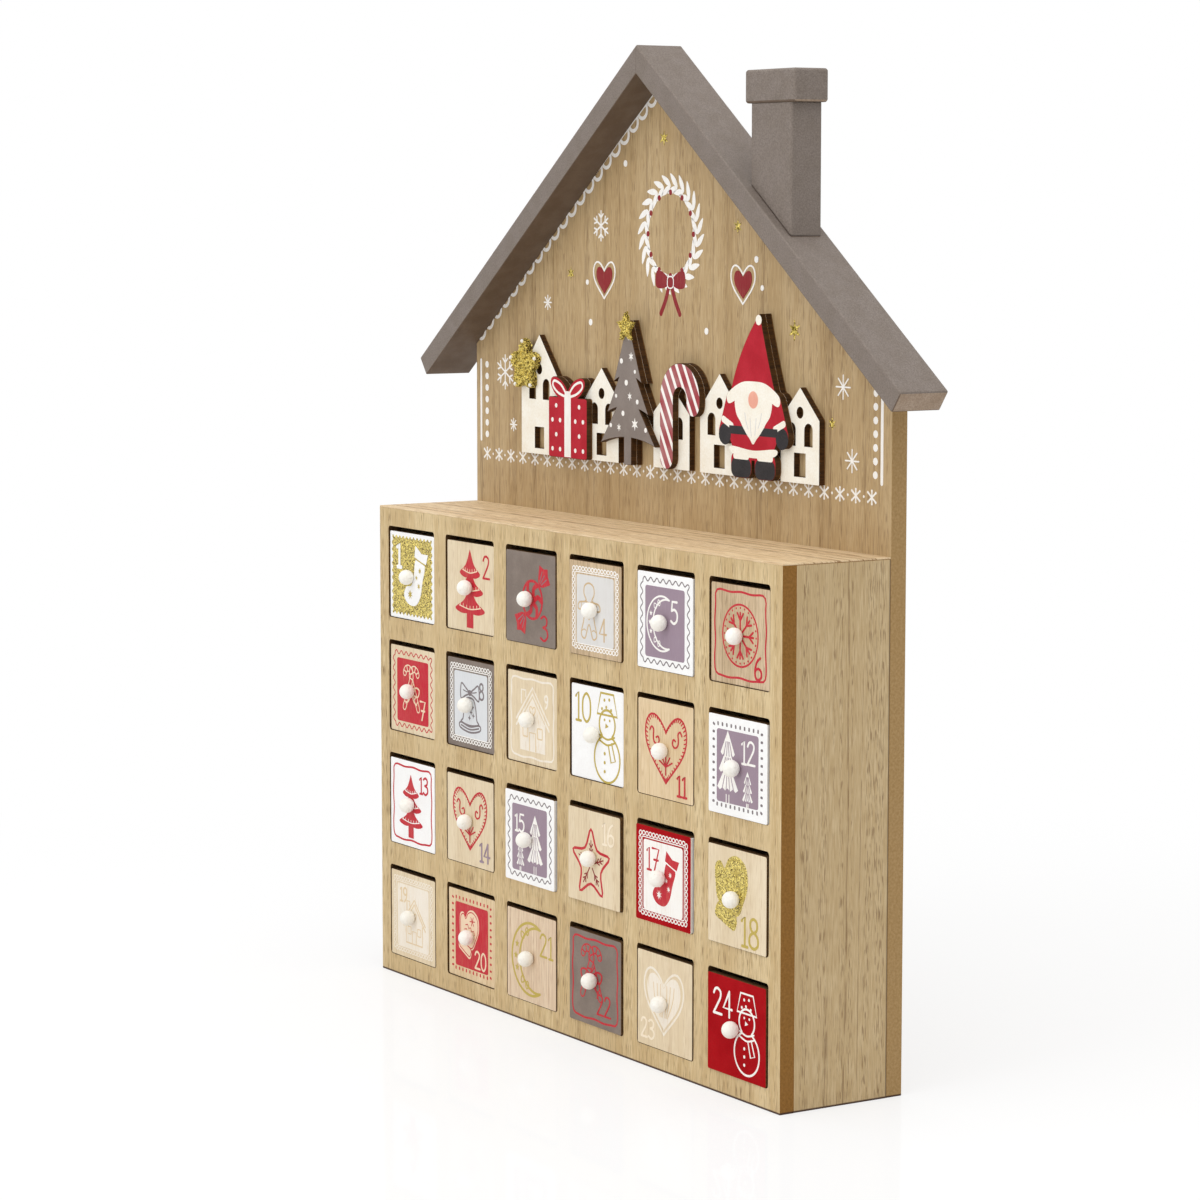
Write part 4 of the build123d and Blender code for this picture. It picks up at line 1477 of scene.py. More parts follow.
@dataclass
class GablePrint:
    """The white border, snow and wreath printed on the gable."""

    ground_z: float = 222.0
    row_left: float = -141.0
    row_right: float = 138.0
    side_dots_x: tuple[float, ...] = (-141.0, 140.0)
    side_dots_z: tuple[float, ...] = (230.3, 260.3)
    side_dots: int = 7
    side_dot: float = 1.45
    left_line: tuple[float, ...] = (-146.0, 227.8, 262.0, 1.4)
    right_line: tuple[float, ...] = (144.0, 227.4, 262.0, 1.6)
    flakes: int = 29
    scallops: int = 22
    scallop_band: float = 1.5
    scallop_drop: float = 0.9
    scallop_margin: float = 4.2
    wreath_centre: Point = (3.0, 317.0)
    wreath_radius: float = 19.0
    leaves: int = 24
    berries: int = 12
    sprinkle: Sprinkle = Sprinkle(5.0, 0.6, 0.9)
    seed: int = 21

    def __post_init__(self) -> None:
        """Reads the printed face from the frame."""
        low, high = span_mm("back_panel")
        self.half_width = high.x
        self.peak = high.z
        self.face_y = low.y
        roof_low, _ = span_mm("roof_left")
        self.eave = self.peak + (roof_low.z - self.peak) * self.half_width / -roof_low.x

    def build(self) -> None:
        """Prints everything on the gable."""
        meshes = [*self.border_rows(), self.loose_shapes(), *self.wreath_rows()]
        publish("gable_print", joined("gable_print", meshes), CASING, "cream_paint")
        self.gold_stars()

    def white_row(self, start: Point, end: Point, count: int, shape: Film) -> Mesh:
        """Prints white copies of a shape along a straight line."""
        return row([start, end], self.face_y, count, shape, WHITE_INK)

    def border_rows(self) -> list[Mesh]:
        """Prints the row of snow crystals, the dotted sides and the scalloped eaves.

        Returns:
            The meshes.
        """
        left, right, level = self.row_left, self.row_right, self.ground_z
        crystal = Film()
        for angle, tip in ((90, 2.4), (270, 2.4), (36, 3.0), (144, 3.0), (216, 3.0), (324, 3.0)):
            arm = [polar(MIDDLE, reach, radians(angle)) for reach in (0.2, tip)]
            crystal.stroke(arm, 0.75, WHITE_INK)
            crystal.dot(arm[1], 0.52, WHITE_INK)
        meshes = [self.white_row((left, level), (right, level), self.flakes, crystal)]
        half_step = (right - left) / (self.flakes - 1) / 2
        bead = Film()
        bead.dot(MIDDLE, 0.55, WHITE_INK)
        meshes.append(self.white_row((left + half_step, level), (right - half_step, level), self.flakes - 1,
                                     bead))
        for x in self.side_dots_x:
            spot = Film()
            spot.dot(MIDDLE, self.side_dot, WHITE_INK)
            low, high = self.side_dots_z
            meshes.append(self.white_row((x, low), (x, high), self.side_dots, spot))
        for side in (-1, 1):
            start, end = self.slope(side)
            pitch = hypot(end[0] - start[0], end[1] - start[1]) / (self.scallops - 1)
            first = 180 if side < 0 else 0
            outer = arc(MIDDLE, pitch / 2, first, first + 180, 13)
            inner = arc(MIDDLE, pitch / 2 - self.scallop_band, first + 180, first, 13)
            scallop = Film()
            scallop.fill([*outer, *inner], WHITE_INK)
            meshes.append(self.white_row(start, end, self.scallops, scallop))
        return meshes

    def slope(self, side: int) -> tuple[Point, Point]:
        """Gives the line that the scallops of one slope hang from.

        Args:
            side: 1 for the right slope, -1 for the left.

        Returns:
            Its lower and its upper end.
        """
        rise = (self.peak - self.eave) / self.half_width
        low = self.eave - self.scallop_drop
        return tuple((side * (self.half_width - along), low + rise * along)
                     for along in (self.scallop_margin, self.half_width - self.scallop_margin))

    def loose_shapes(self) -> Mesh:
        """Prints the side lines, the eave lines, and the snow that falls over the gable.

        Returns:
            The mesh.
        """
        film = Film(face_y=self.face_y)
        for x, low, high, width in (self.left_line, self.right_line):
            film.stroke([(x, low), (x, high)], width, WHITE_INK)
        for side in (-1, 1):
            film.stroke(self.slope(side), 0.5, WHITE_INK)
        for x, z, radius in ((-125.6, 257.6, 7.2), (-48.6, 320.0, 6.0)):
            film.flake((x, z), radius, 0.75, WHITE_INK)
        for x, z, radius in ((-90.4, 288.0, 2.9), (-118.6, 235.5, 2.6), (119.8, 261.6, 4.4),
                             (125.7, 234.6, 4.2)):
            film.flake((x, z), radius, 0.6, WHITE_INK, 8, barbs=False)
        for place in ((-56.5, 280.7), (28.9, 279.5), (63.0, 307.8), (-30.0, 345.0), (34.0, 341.0)):
            film.dot(place, 1.35, WHITE_INK)
        for x, side in ((-46.0, -1), (54.0, 1)):
            film.fill(heart((x, 298.0), 6.0), CRIMSON_INK)
            film.heart_line((x, 298.0), 8.2, 0.7, WHITE_INK)
            film.dot((x + side * 13.0, 297.0), 1.1, WHITE_INK)
        return film.mesh("snow")

    def wreath_rows(self) -> list[Mesh]:
        """Prints the wreath: two rows of leaves, berries and a bow.

        Returns:
            The meshes.
        """
        ring = arc(self.wreath_centre, self.wreath_radius, steps=60)
        blade = spline([(0.0, 0.0), (3.2, 1.3), (7.6, 0.0), (3.2, -1.3)], closed=True, steps=4)
        meshes = []
        for lean, passes in ((32.0, 0), (-32.0, 2)):
            leaf = Film(passes=passes)
            leaf.fill(moved(blade, turn=lean), WHITE_INK)
            meshes.append(row(ring, self.face_y, self.leaves, leaf, WHITE_INK, closed=True))
        berry = Film(passes=6)
        berry.dot((0.0, 2.6), 1.15, CRIMSON_INK)
        meshes.append(row(ring, self.face_y, self.berries, berry, CRIMSON_INK, closed=True))
        foot = (self.wreath_centre[0], self.wreath_centre[1] - self.wreath_radius)
        bow = Film(foot, self.face_y, passes=10)
        for side in (-1, 1):
            loop = flipped(((0.6, 0.0), (5.0, 3.8), (10.0, 4.2), (10.4, -1.6), (5.0, -2.4)), side)
            bow.fill(spline(loop[::side], closed=True), CRIMSON_INK)
            tail = flipped(((0.8, -1.0), (3.4, -7.0), (6.8, -12.4)), side)
            bow.stroke(spline(tail), 2.2, CRIMSON_INK)
        knot = rounded(4.4, 4.6, 1.6)
        bow.fill(knot, CRIMSON_INK)
        bow.stroke(knot, 0.5, WHITE_INK, closed=True)
        return [*meshes, bow.mesh("bow")]

    def gold_stars(self) -> None:
        """Sprinkles the small gold stars."""
        film = Film(face_y=self.face_y)
        for x, z, radius in ((-1.8, 354.7, 3.2), (50.2, 320.2, 3.0), (88.3, 281.6, 4.2), (-72.0, 300.4, 2.8),
                             (113.0, 247.7, 2.4)):
            film.fill(star((x, z), radius, radius * 0.36, 6), GOLD_GLITTER)
        base = film.mesh("gold_stars")
        flakes = self.sprinkle.over(base.copy(), self.seed)
        publish("gable_gold_stars", joined("gable_gold_stars", [base, flakes]), CASING, "gold_glitter")


# Drawers


class Front(Enum):
    """How a drawer front is finished: its face, its edges and its slot."""

    WHITE = (DRAWER_WHITE, EDGE_WHITE, "drawer_white")
    WOOD = (DRAWER_WOOD, WINDOW_EDGE, "drawer_natural")
    PALE_WOOD = (PALE_WOOD, WINDOW_EDGE, "drawer_natural")
    PINK_WOOD = (PINK_WOOD, WINDOW_EDGE, "drawer_natural")
    TAN_WOOD = (TAN_WOOD, WINDOW_EDGE, "drawer_natural")
    TAUPE = (DRAWER_TAUPE, WINDOW_EDGE, "drawer_taupe")
    RED = (DRAWER_RED, WINDOW_EDGE, "drawer_red")
    RED_ON_WHITE = (DRAWER_RED, EDGE_WHITE, "drawer_red")


class Border(Enum):
    """What frames the picture on a drawer."""

    NONE = "none"
    FRAME = "hand-drawn line"
    WAVE = "wavy line"
    LACE = "row of rings with a line"
    DOTS = "row of dots"
    STAMP = "toothed panel"


class Motif(Enum):
    """The picture on a drawer."""

    TREE = "fir tree"
    PINES = "two fir trees in snow"
    SWEET = "wrapped sweet"
    FIGURE = "biscuit figure"
    MOON = "crescent moon"
    ROUNDEL = "snow crystal in a ring"
    CANES = "two crossed sugar canes"
    BELL = "bell"
    HOUSE = "house"
    SNOWMAN = "snowman"
    HEART = "heart with stitches"
    PALE_HEART = "filled heart"
    STAR = "star"
    STOCKING = "stocking"
    MITTEN = "mitten"


@dataclass(frozen=True)
class Design:
    """The print of one drawer front, in millimetres about its middle.

    The picture is flipped, scaled, turned and placed. The number's place is its lower left corner.
    """

    face: Front
    motif: Motif
    ink: Finish
    place: Point
    number_place: Point
    number_height: float
    size: float = 1.0
    turn: float = 0.0
    flip: int = 1
    number_ink: Finish | None = None
    number_width: float = 0.9
    accent: Finish = WHITE_INK
    border: Border = Border.NONE
    border_ink: Finish = RED_INK
    panel: Finish | None = None


DESIGNS: tuple[Design, ...] = (
    Design(Front.WHITE, Motif.STOCKING, DRAWER_WHITE, (5.3, -0.6), (-13.0, 3.4), 10.0, turn=-15.0,
           number_width=1.6, accent=GOLD_INK, border=Border.STAMP, panel=FINE_GLITTER),
    Design(Front.PALE_WOOD, Motif.TREE, RED_INK, (-0.3, -0.4), (10.2, 4.5), 9.2, accent=BARE_INK),
    Design(Front.TAUPE, Motif.SWEET, RED_INK, (1.4, -0.4), (7.6, -16.0), 9.8, turn=48.0, accent=GREY_INK),
    Design(Front.TAN_WOOD, Motif.FIGURE, TAN_INK, (-4.4, -1.0), (3.0, -11.6), 8.6, 0.885,
           border=Border.LACE, border_ink=WHITE_INK, panel=PALE_INK),
    Design(Front.WHITE, Motif.MOON, WHITE_INK, (-1.9, -0.6), (4.0, 0.2), 8.2, number_width=1.0,
           border=Border.WAVE, border_ink=GREY_INK, panel=MAUVE_INK),
    Design(Front.TAN_WOOD, Motif.ROUNDEL, RED_INK, MIDDLE, (9.2, -15.0), 8.2, border=Border.FRAME),
    Design(Front.PALE_WOOD, Motif.CANES, BARE_INK, (-1.2, 0.7), (6.4, -11.4), 7.8, 0.9, accent=RED_INK,
           border=Border.WAVE, panel=RED_INK),
    Design(Front.TAUPE, Motif.BELL, GREY_INK, (-0.7, 0.0), (6.8, 3.0), 6.6, border=Border.LACE,
           border_ink=WHITE_INK, panel=ICE_INK),
    Design(Front.PALE_WOOD, Motif.HOUSE, FAINT_INK, (0.3, 0.0), (9.4, 5.5), 5.0, accent=SAND_INK,
           border=Border.FRAME, border_ink=FAINT_INK),
    Design(Front.WHITE, Motif.SNOWMAN, GOLD_INK, (7.2, -0.9), (-16.4, 4.0), 11.2, 1.1, number_width=1.0),
    Design(Front.WOOD, Motif.HEART, RED_INK, (0.3, 0.4), (7.8, -16.2), 7.9),
    Design(Front.WHITE, Motif.PINES, WHITE_INK, MIDDLE, (2.4, 2.0), 8.5, accent=MAUVE_INK,
           border=Border.DOTS, border_ink=GREY_INK, panel=MAUVE_INK),
    Design(Front.WHITE, Motif.TREE, RED_INK, (-1.4, -0.8), (6.0, 5.7), 7.1, 0.84, border=Border.FRAME),
    Design(Front.PALE_WOOD, Motif.HEART, RED_INK, (-0.2, 0.6), (7.6, -15.4), 7.8, 0.97,
           number_ink=MAUVE_INK),
    Design(Front.WHITE, Motif.PINES, WHITE_INK, (-1.2, -1.2), (-11.4, 2.2), 7.0, 0.88, flip=-1,
           accent=MAUVE_INK, border=Border.WAVE, border_ink=GREY_INK, panel=MAUVE_INK),
    Design(Front.PALE_WOOD, Motif.STAR, RED_INK, (-2.1, -2.9), (6.0, 6.5), 8.5, number_ink=GHOST_INK,
           accent=CRIMSON_INK),
    Design(Front.RED_ON_WHITE, Motif.STOCKING, RED_INK, (3.3, -1.3), (-11.6, 1.8), 8.6, 0.85, -18.0,
           border=Border.LACE, border_ink=WHITE_INK, panel=WHITE_INK),
    Design(Front.PALE_WOOD, Motif.MITTEN, FINE_GLITTER, (-3.6, 1.6), (2.6, -16.8), 11.0, 1.2, -19.0,
           number_ink=GOLD_INK, number_width=1.1, accent=GOLD_INK),
    Design(Front.PALE_WOOD, Motif.HOUSE, SAND_INK, (1.0, -2.0), (-11.4, 5.6), 6.0, 0.75, accent=SAND_INK,
           border=Border.LACE, border_ink=FAINT_INK, panel=FAINT_INK),
    Design(Front.WOOD, Motif.MITTEN, BARE_INK, (-2.2, 0.8), (2.6, -12.6), 7.2, 0.9, -24.0, accent=RED_INK,
           border=Border.DOTS, panel=RED_INK),
    Design(Front.PINK_WOOD, Motif.MOON, GOLD_INK, (-0.4, -0.7), (6.6, 2.0), 9.2, 1.42),
    Design(Front.TAUPE, Motif.CANES, RED_INK, (-2.6, 2.4), (1.4, -13.2), 8.0, number_width=0.75,
           accent=DRAWER_TAUPE, border=Border.FRAME),
    Design(Front.PALE_WOOD, Motif.PALE_HEART, FAINT_INK, (-0.5, 0.2), (-16.4, -15.4), 7.4,
           number_ink=GHOST_INK, accent=SAND_INK),
    Design(Front.RED, Motif.SNOWMAN, WHITE_INK, (6.8, -1.2), (-15.2, 3.4), 9.6, 0.96, number_width=1.0),
)


class Artist:
    """Draws the pictures of the drawers on a film, each upright and about (0, 0)."""

    def __init__(self, film: Film, design: Design) -> None:
        """Keeps the film and the inks.

        Args:
            film: The film.
            design: The drawer's design.
        """
        self.film = film
        self.ink = design.ink
        self.accent = design.accent

    def draw(self, motif: Motif) -> None:
        """Draws a picture."""
        getattr(self, motif.name.lower())()

    def line(self, path: Sequence[Point], width: float, ink: Finish | None = None,
             closed: bool = False) -> None:
        """Draws a line in the picture's ink, or in another."""
        self.film.stroke(path, width, ink or self.ink, closed)

    def loop(self, outline: Sequence[Point], width: float, ink: Finish | None = None) -> None:
        """Draws a closed line in the picture's ink, or in another."""
        self.line(outline, width, ink, closed=True)

    def area(self, outline: Sequence[Point], ink: Finish | None = None) -> None:
        """Fills an outline in the picture's ink, or in another."""
        self.film.fill(outline, ink or self.ink)

    def dots(self, places: Iterable[Point], radius: float) -> None:
        """Draws dots of one size."""
        for place in places:
            self.film.dot(place, radius, self.ink)

    def pair(self, half: Sequence[Point], width: float, closed: bool = False) -> None:
        """Draws a smooth line and its mirror image."""
        for side in (-1, 1):
            self.line(spline(flipped(half, side), closed, 5), width, closed=closed)

    def tree(self) -> None:
        """Draws a filled fir tree with a fringed garland on each tier."""
        self.area(block(2.7, -16.4, -8.0))
        for half, foot, top in ((12.0, -9.8, 1.6), (10.6, -2.2, 8.4), (8.2, 5.2, 16.0)):
            side = spline([(0.0, top), (half * 0.4, foot + (top - foot) * 0.42), (half, foot + 1.0),
                           (half * 0.55, foot - 0.9), (0.0, foot - 0.4)], steps=5)
            self.area(mirrored(side)[::-1])
            swag = spline([(-0.72 * half, foot + 2.2), (0.0, foot + 1.1), (0.72 * half, foot + 2.2)])
            self.line(swag, 0.5, self.accent)
            for u, v in swag[1::2]:
                self.line([(u, v), (u, v + 1.3)], 0.4, self.accent)

    def pines(self) -> None:
        """Draws a tall and a short fir tree with ragged snow on their tiers."""
        ground = -14.2
        for middle, size in ((-6.3, 1.0), (6.6, 0.5)):
            root = (middle, ground * (1 - size))
            for half, foot, top in ((6.8, -8.4, 2.0), (5.8, -1.8, 7.6), (4.6, 4.6, 13.0)):
                teeth = [(half * (0.25 * step - 1.0), foot - (1.0 if step % 2 else 0.0)) for step in range(9)]
                self.area(moved([*teeth, (0.0, top)], root, size=size))
                for lean in (-0.55, -0.15, 0.2, 0.6):
                    fold = [(lean * half, foot - 1.0), (lean * half * 0.45, foot + 0.5 * (top - foot))]
                    self.line(moved(fold, root, size=size), 0.45, self.accent)
            for side in (-0.9, 0.9):
                self.line(moved([(side, ground), (side, ground + 3.4)], root, size=size), 0.5)

    def sweet(self) -> None:
        """Draws a striped sweet in twisted paper, lying level."""
        self.loop(arc(MIDDLE, 7.6, steps=28), 1.1)
        for turn in range(0, 360, 60):
            self.line(moved(spline([(1.4, 0.0), (4.0, 2.2), (7.2, 1.2)]), turn=turn), 2.0)
        paper = [(7.6, 0.0), (9.6, 2.4), (14.4, 5.4), (15.6, 2.0), (17.6, 0.0), (15.6, -2.0), (14.4, -5.4),
                 (9.6, -2.4)]
        for turn in (0, 180):
            self.area(moved(paper, turn=turn))
            for fold in (-2.2, 0.0, 2.2):
                self.line(moved([(9.6, fold * 0.4), (14.0, fold)], turn=turn), 0.45, self.accent)

    def figure(self) -> None:
        """Draws a biscuit figure with a scarf, cuffs and buttons."""
        half = [(0.0, 12.6), (3.6, 11.2), (4.2, 7.8), (2.4, 4.6), (8.0, 3.6), (8.8, 0.8), (4.2, 0.2),
                (4.4, -4.0), (6.4, -10.2), (3.2, -11.8), (0.0, -5.6)]
        self.loop(spline(mirrored(half), closed=True, steps=5), 0.8)
        self.line(spline([(-3.0, 4.6), (0.0, 3.8), (3.0, 4.6)]), 0.9)
        self.pair([(6.6, 4.0), (6.2, 2.2), (6.8, 0.5)], 0.5)
        self.pair([(2.6, -8.4), (4.2, -8.0), (5.8, -8.8)], 0.5)
        self.dots([(0.0, level) for level in (1.6, -0.8, -3.2)], 0.6)

    def moon(self) -> None:
        """Draws a crescent moon with leaves and small stars in it."""
        self.line(arc(MIDDLE, 10.4, 62, 298, 40), 0.75)
        self.line(arc((3.2, 0.0), 9.36, 281, 79, 36), 0.75)
        leaf = spline([(7.0, 0.0), (8.1, 0.9), (9.3, 0.0), (8.1, -0.9)], closed=True, steps=4)
        for turn in (108, 128, 232, 252):
            self.loop(moved(leaf, (0.4, 0.0), turn), 0.4)
        for place in ((-7.6, 3.4), (-7.6, -3.4), (-8.3, 0.0)):
            self.area(star(place, 1.15, 0.5))

    def roundel(self) -> None:
        """Draws a snow crystal in a ring of dots."""
        self.loop(arc(MIDDLE, 11.4, steps=40), 0.75)
        self.dots([moved([(10.2, 0.0)], turn=turn)[0] for turn in range(0, 360, 15)], 0.4)
        for turn in range(0, 360, 45):
            for twig in ([(1.0, 0.0), (8.4, 0.0)], [(5.6, 0.0), (8.2, 1.9)], [(5.6, 0.0), (8.2, -1.9)]):
                self.line(moved(twig, turn=turn), 0.8)

    def canes(self) -> None:
        """Draws two crossed sugar canes tied with a bow."""
        hook = [(0.0, -10.0), (0.0, 5.0), *arc((-3.4, 5.4), 3.4, 0, 190, 14)]
        for side in (-1, 1):
            root, lean = (-2.2 * side, 0.0), -26.0 * side
            cane = moved(flipped(hook, side), root, lean)
            self.line(cane, 3.4)
            self.line(cane, 2.2, self.accent)
            for index in range(2, len(cane) - 1, 3):
                (a, b), (c, d) = cane[index], cane[index + 1]
                run = 1.2 / hypot(c - a, d - b)
                self.line([(a + way * (d - b) * run, b - way * (c - a) * run) for way in (-1, 1)], 0.7)
            for level in (-7.6, -4.6, -1.6, 1.4):
                self.line(moved([(-1.2, level), (1.2, level + 1.0)], root, lean), 0.7)
        self.pair([(0.4, -1.4), (4.2, 1.0), (7.6, 0.2), (6.4, -3.0), (3.0, -2.8)], 0.8, closed=True)
        self.pair([(0.6, -2.0), (2.4, -5.6), (5.2, -7.0)], 0.8)

    def bell(self) -> None:
        """Draws a bell with a broad rim and a bow."""
        half = [(0.0, 2.8), (3.2, 2.0), (4.8, -1.6), (5.6, -6.0), (7.0, -7.8), (0.0, -8.8)]
        rim = [(-7.6, -8.0), (0.0, -9.2), (7.6, -8.0), (8.0, -10.2), (0.0, -11.6), (-8.0, -10.2)]
        for outline in (mirrored(half), rim):
            self.loop(spline(outline, closed=True, steps=6), 0.8)
        self.line(spline([(-7.2, -9.2), (0.0, -10.4), (7.2, -9.2)]), 0.7)
        self.pair([(0.6, 4.8), (3.6, 6.8), (7.0, 8.2), (7.4, 2.2), (3.6, 3.4)], 0.75, closed=True)
        self.pair([(1.4, 5.0), (3.4, 5.2), (5.4, 5.6)], 0.5)
        self.dots([(0.0, 4.8)], 1.3)
        for place in ((2.2, -0.8), (1.0, -3.2), (2.8, -4.4), (-0.4, -5.6)):
            self.area(star(place, 1.2, 0.5, 4))

    def house(self) -> None:
        """Draws a small house with a double roof line, a door and windows."""
        for apex in (12.7, 10.1):
            self.line([(-12.6, apex - 13.5), (0.0, apex), (12.6, apex - 13.5)], 1.0)
        self.area([(-9.4, -12.8), (9.4, -12.8), (9.4, -1.6), (0.0, 8.4), (-9.4, -1.6)], FAINT_INK)
        self.line([(-9.4, -1.6), (-9.4, -12.8), (9.4, -12.8), (9.4, -1.6)], 0.9)
        self.line([(-2.4, -12.8), (-2.4, -5.6), (2.4, -5.6), (2.4, -12.8)], 0.7, self.accent)
        for side in (-1, 1):
            self.loop(rounded(3.8, 4.2, 0.5, (side * 5.6, -5.4)), 0.6, self.accent)
        self.film.heart_line((0.0, 3.0), 2.2, 0.55, self.accent)
        self.line([(-8.6, 5.8), (-8.6, 11.2), (-5.2, 11.2), (-5.2, 8.6)], 0.9)

    def snowman(self) -> None:
        """Draws a snowman with a hat, a scarf and buttons."""
        self.line(arc((0.0, -7.2), 8.4, 112, 428, 32), 0.85)
        self.line(arc((0.0, 5.0), 5.2, -50, 230, 24), 0.85)
        self.loop([(-6.6, 8.4), (-4.2, 16.0), (4.2, 16.0), (6.6, 8.4)], 0.85)
        self.dots(((-3.4, 10.4), (-0.6, 11.2), (2.6, 10.4), (-1.8, 13.6), (1.4, 14.0)), 0.6)
        for v in (1.0, -1.0):
            self.line(spline([(-4.8, v), (0.0, v - 1.2), (4.8, v)]), 0.7)
        self.line([(3.0, -1.4), (5.4, -7.4), (2.6, -8.2), (0.8, -2.2)], 0.7)
        self.dots([(-1.6, v) for v in (-5.4, -8.6, -11.8)], 0.65)
        self.dots([(u, 6.6) for u in (-1.7, 1.7)], 0.5)
        self.area([(-1.0, 5.4), (-1.2, 3.6), (1.0, 4.4)])

    def heart(self) -> None:
        """Draws a heart with stitches inside its line, two scrolls and a sprig."""
        size, ticks = 14.2, 60
        self.film.heart_line(MIDDLE, size, 0.8, self.ink)
        for tick in zip(heart(MIDDLE, size, ticks), heart(MIDDLE, size - 1.5, ticks)):
            self.line(tick, 0.5)
        self.pair([(11.0, 6.4), (9.8, 7.8), (8.4, 6.8), (8.6, 4.6), (8.2, 2.4), (6.2, 1.4), (4.6, 2.6),
                   (5.2, 4.4), (6.6, 4.0)], 0.65)
        fork = (0.0, -6.6)
        for lean in (25, 55, 90, 125, 155):
            self.line([fork, (4.8 * cos(radians(lean)), fork[1] + 4.6 * sin(radians(lean)))], 0.6)
        self.line([(0.0, -9.6), fork], 0.6)

    def pale_heart(self) -> None:
        """Draws a heart with a streaked filling inside a broad line."""
        self.film.heart_line(MIDDLE, 13.6, 0.9, self.ink)
        self.area(heart(MIDDLE, 11.6))
        for side in (-1, 1):
            for reach in (2.2, 4.6, 7.2):
                fold = flipped([(reach, 6.8), (reach * 0.85, 1.0), (reach * 0.35, -5.6)], side)
                self.line(spline(fold), 0.45, self.accent)

    def star(self) -> None:
        """Draws a plump star with a feathered line to each point."""
        self.loop(spline(star(MIDDLE, 14.0, 7.6), closed=True, steps=4), 1.1)
        for turn in range(90, 450, 72):
            for barb in ([(1.6, 0.0), (9.4, 0.0)], [(6.6, 0.0), (8.2, 1.2)], [(6.6, 0.0), (8.2, -1.2)],
                         [(4.6, 0.0), (6.2, 1.2)], [(4.6, 0.0), (6.2, -1.2)]):
                self.line(moved(barb, turn=turn), 0.5, self.accent)

    def stocking(self) -> None:
        """Draws a filled stocking with a cuff and stars."""
        sock = [(-3.6, 7.6), (4.0, 7.6), (4.0, 0.0), (3.8, -6.6), (1.0, -11.4), (-5.0, -12.8), (-9.4, -10.6),
                (-8.6, -6.4), (-4.6, -4.4), (-3.6, 0.0)]
        self.area(spline(sock, closed=True, steps=5)[::-1])
        self.area([(-5.0, 8.2), (5.0, 8.2), (5.6, 12.8), (0.4, 11.4), (-5.4, 13.0)])
        self.line([(-4.6, 7.8), (4.8, 7.8)], 0.6, self.accent)
        for u, v, radius in ((-4.6, -8.4, 2.3), (0.8, 4.0, 1.5), (-1.2, 0.2, 1.2), (1.6, -2.6, 1.5)):
            self.area(star((u, v), radius, radius * 0.4, 8), self.accent)

    def mitten(self) -> None:
        """Draws a filled mitten with a cuff, a seam and a zigzag."""
        hand = [(-5.2, -5.6), (5.0, -5.6), (7.0, 0.6), (7.2, 6.2), (4.4, 11.2), (-0.8, 12.2), (-4.8, 9.6),
                (-6.0, 5.6), (-8.6, 6.8), (-10.8, 4.6), (-9.2, -0.2)]
        for outline in (spline(hand, closed=True, steps=5), rounded(12.0, 4.6, 1.6, (-0.2, -8.4))):
            self.area(outline)
            self.loop(moved(outline, (-0.1, 0.0), size=0.9), 0.5, self.accent)
        for v in (0.0, 2.4):
            self.line([(-4.4 + 1.5 * step, v + 1.2 * (step % 2)) for step in range(7)], 0.5, self.accent)
        self.film.flake((0.2, 7.0), 2.2, 0.5, self.accent, barbs=False)


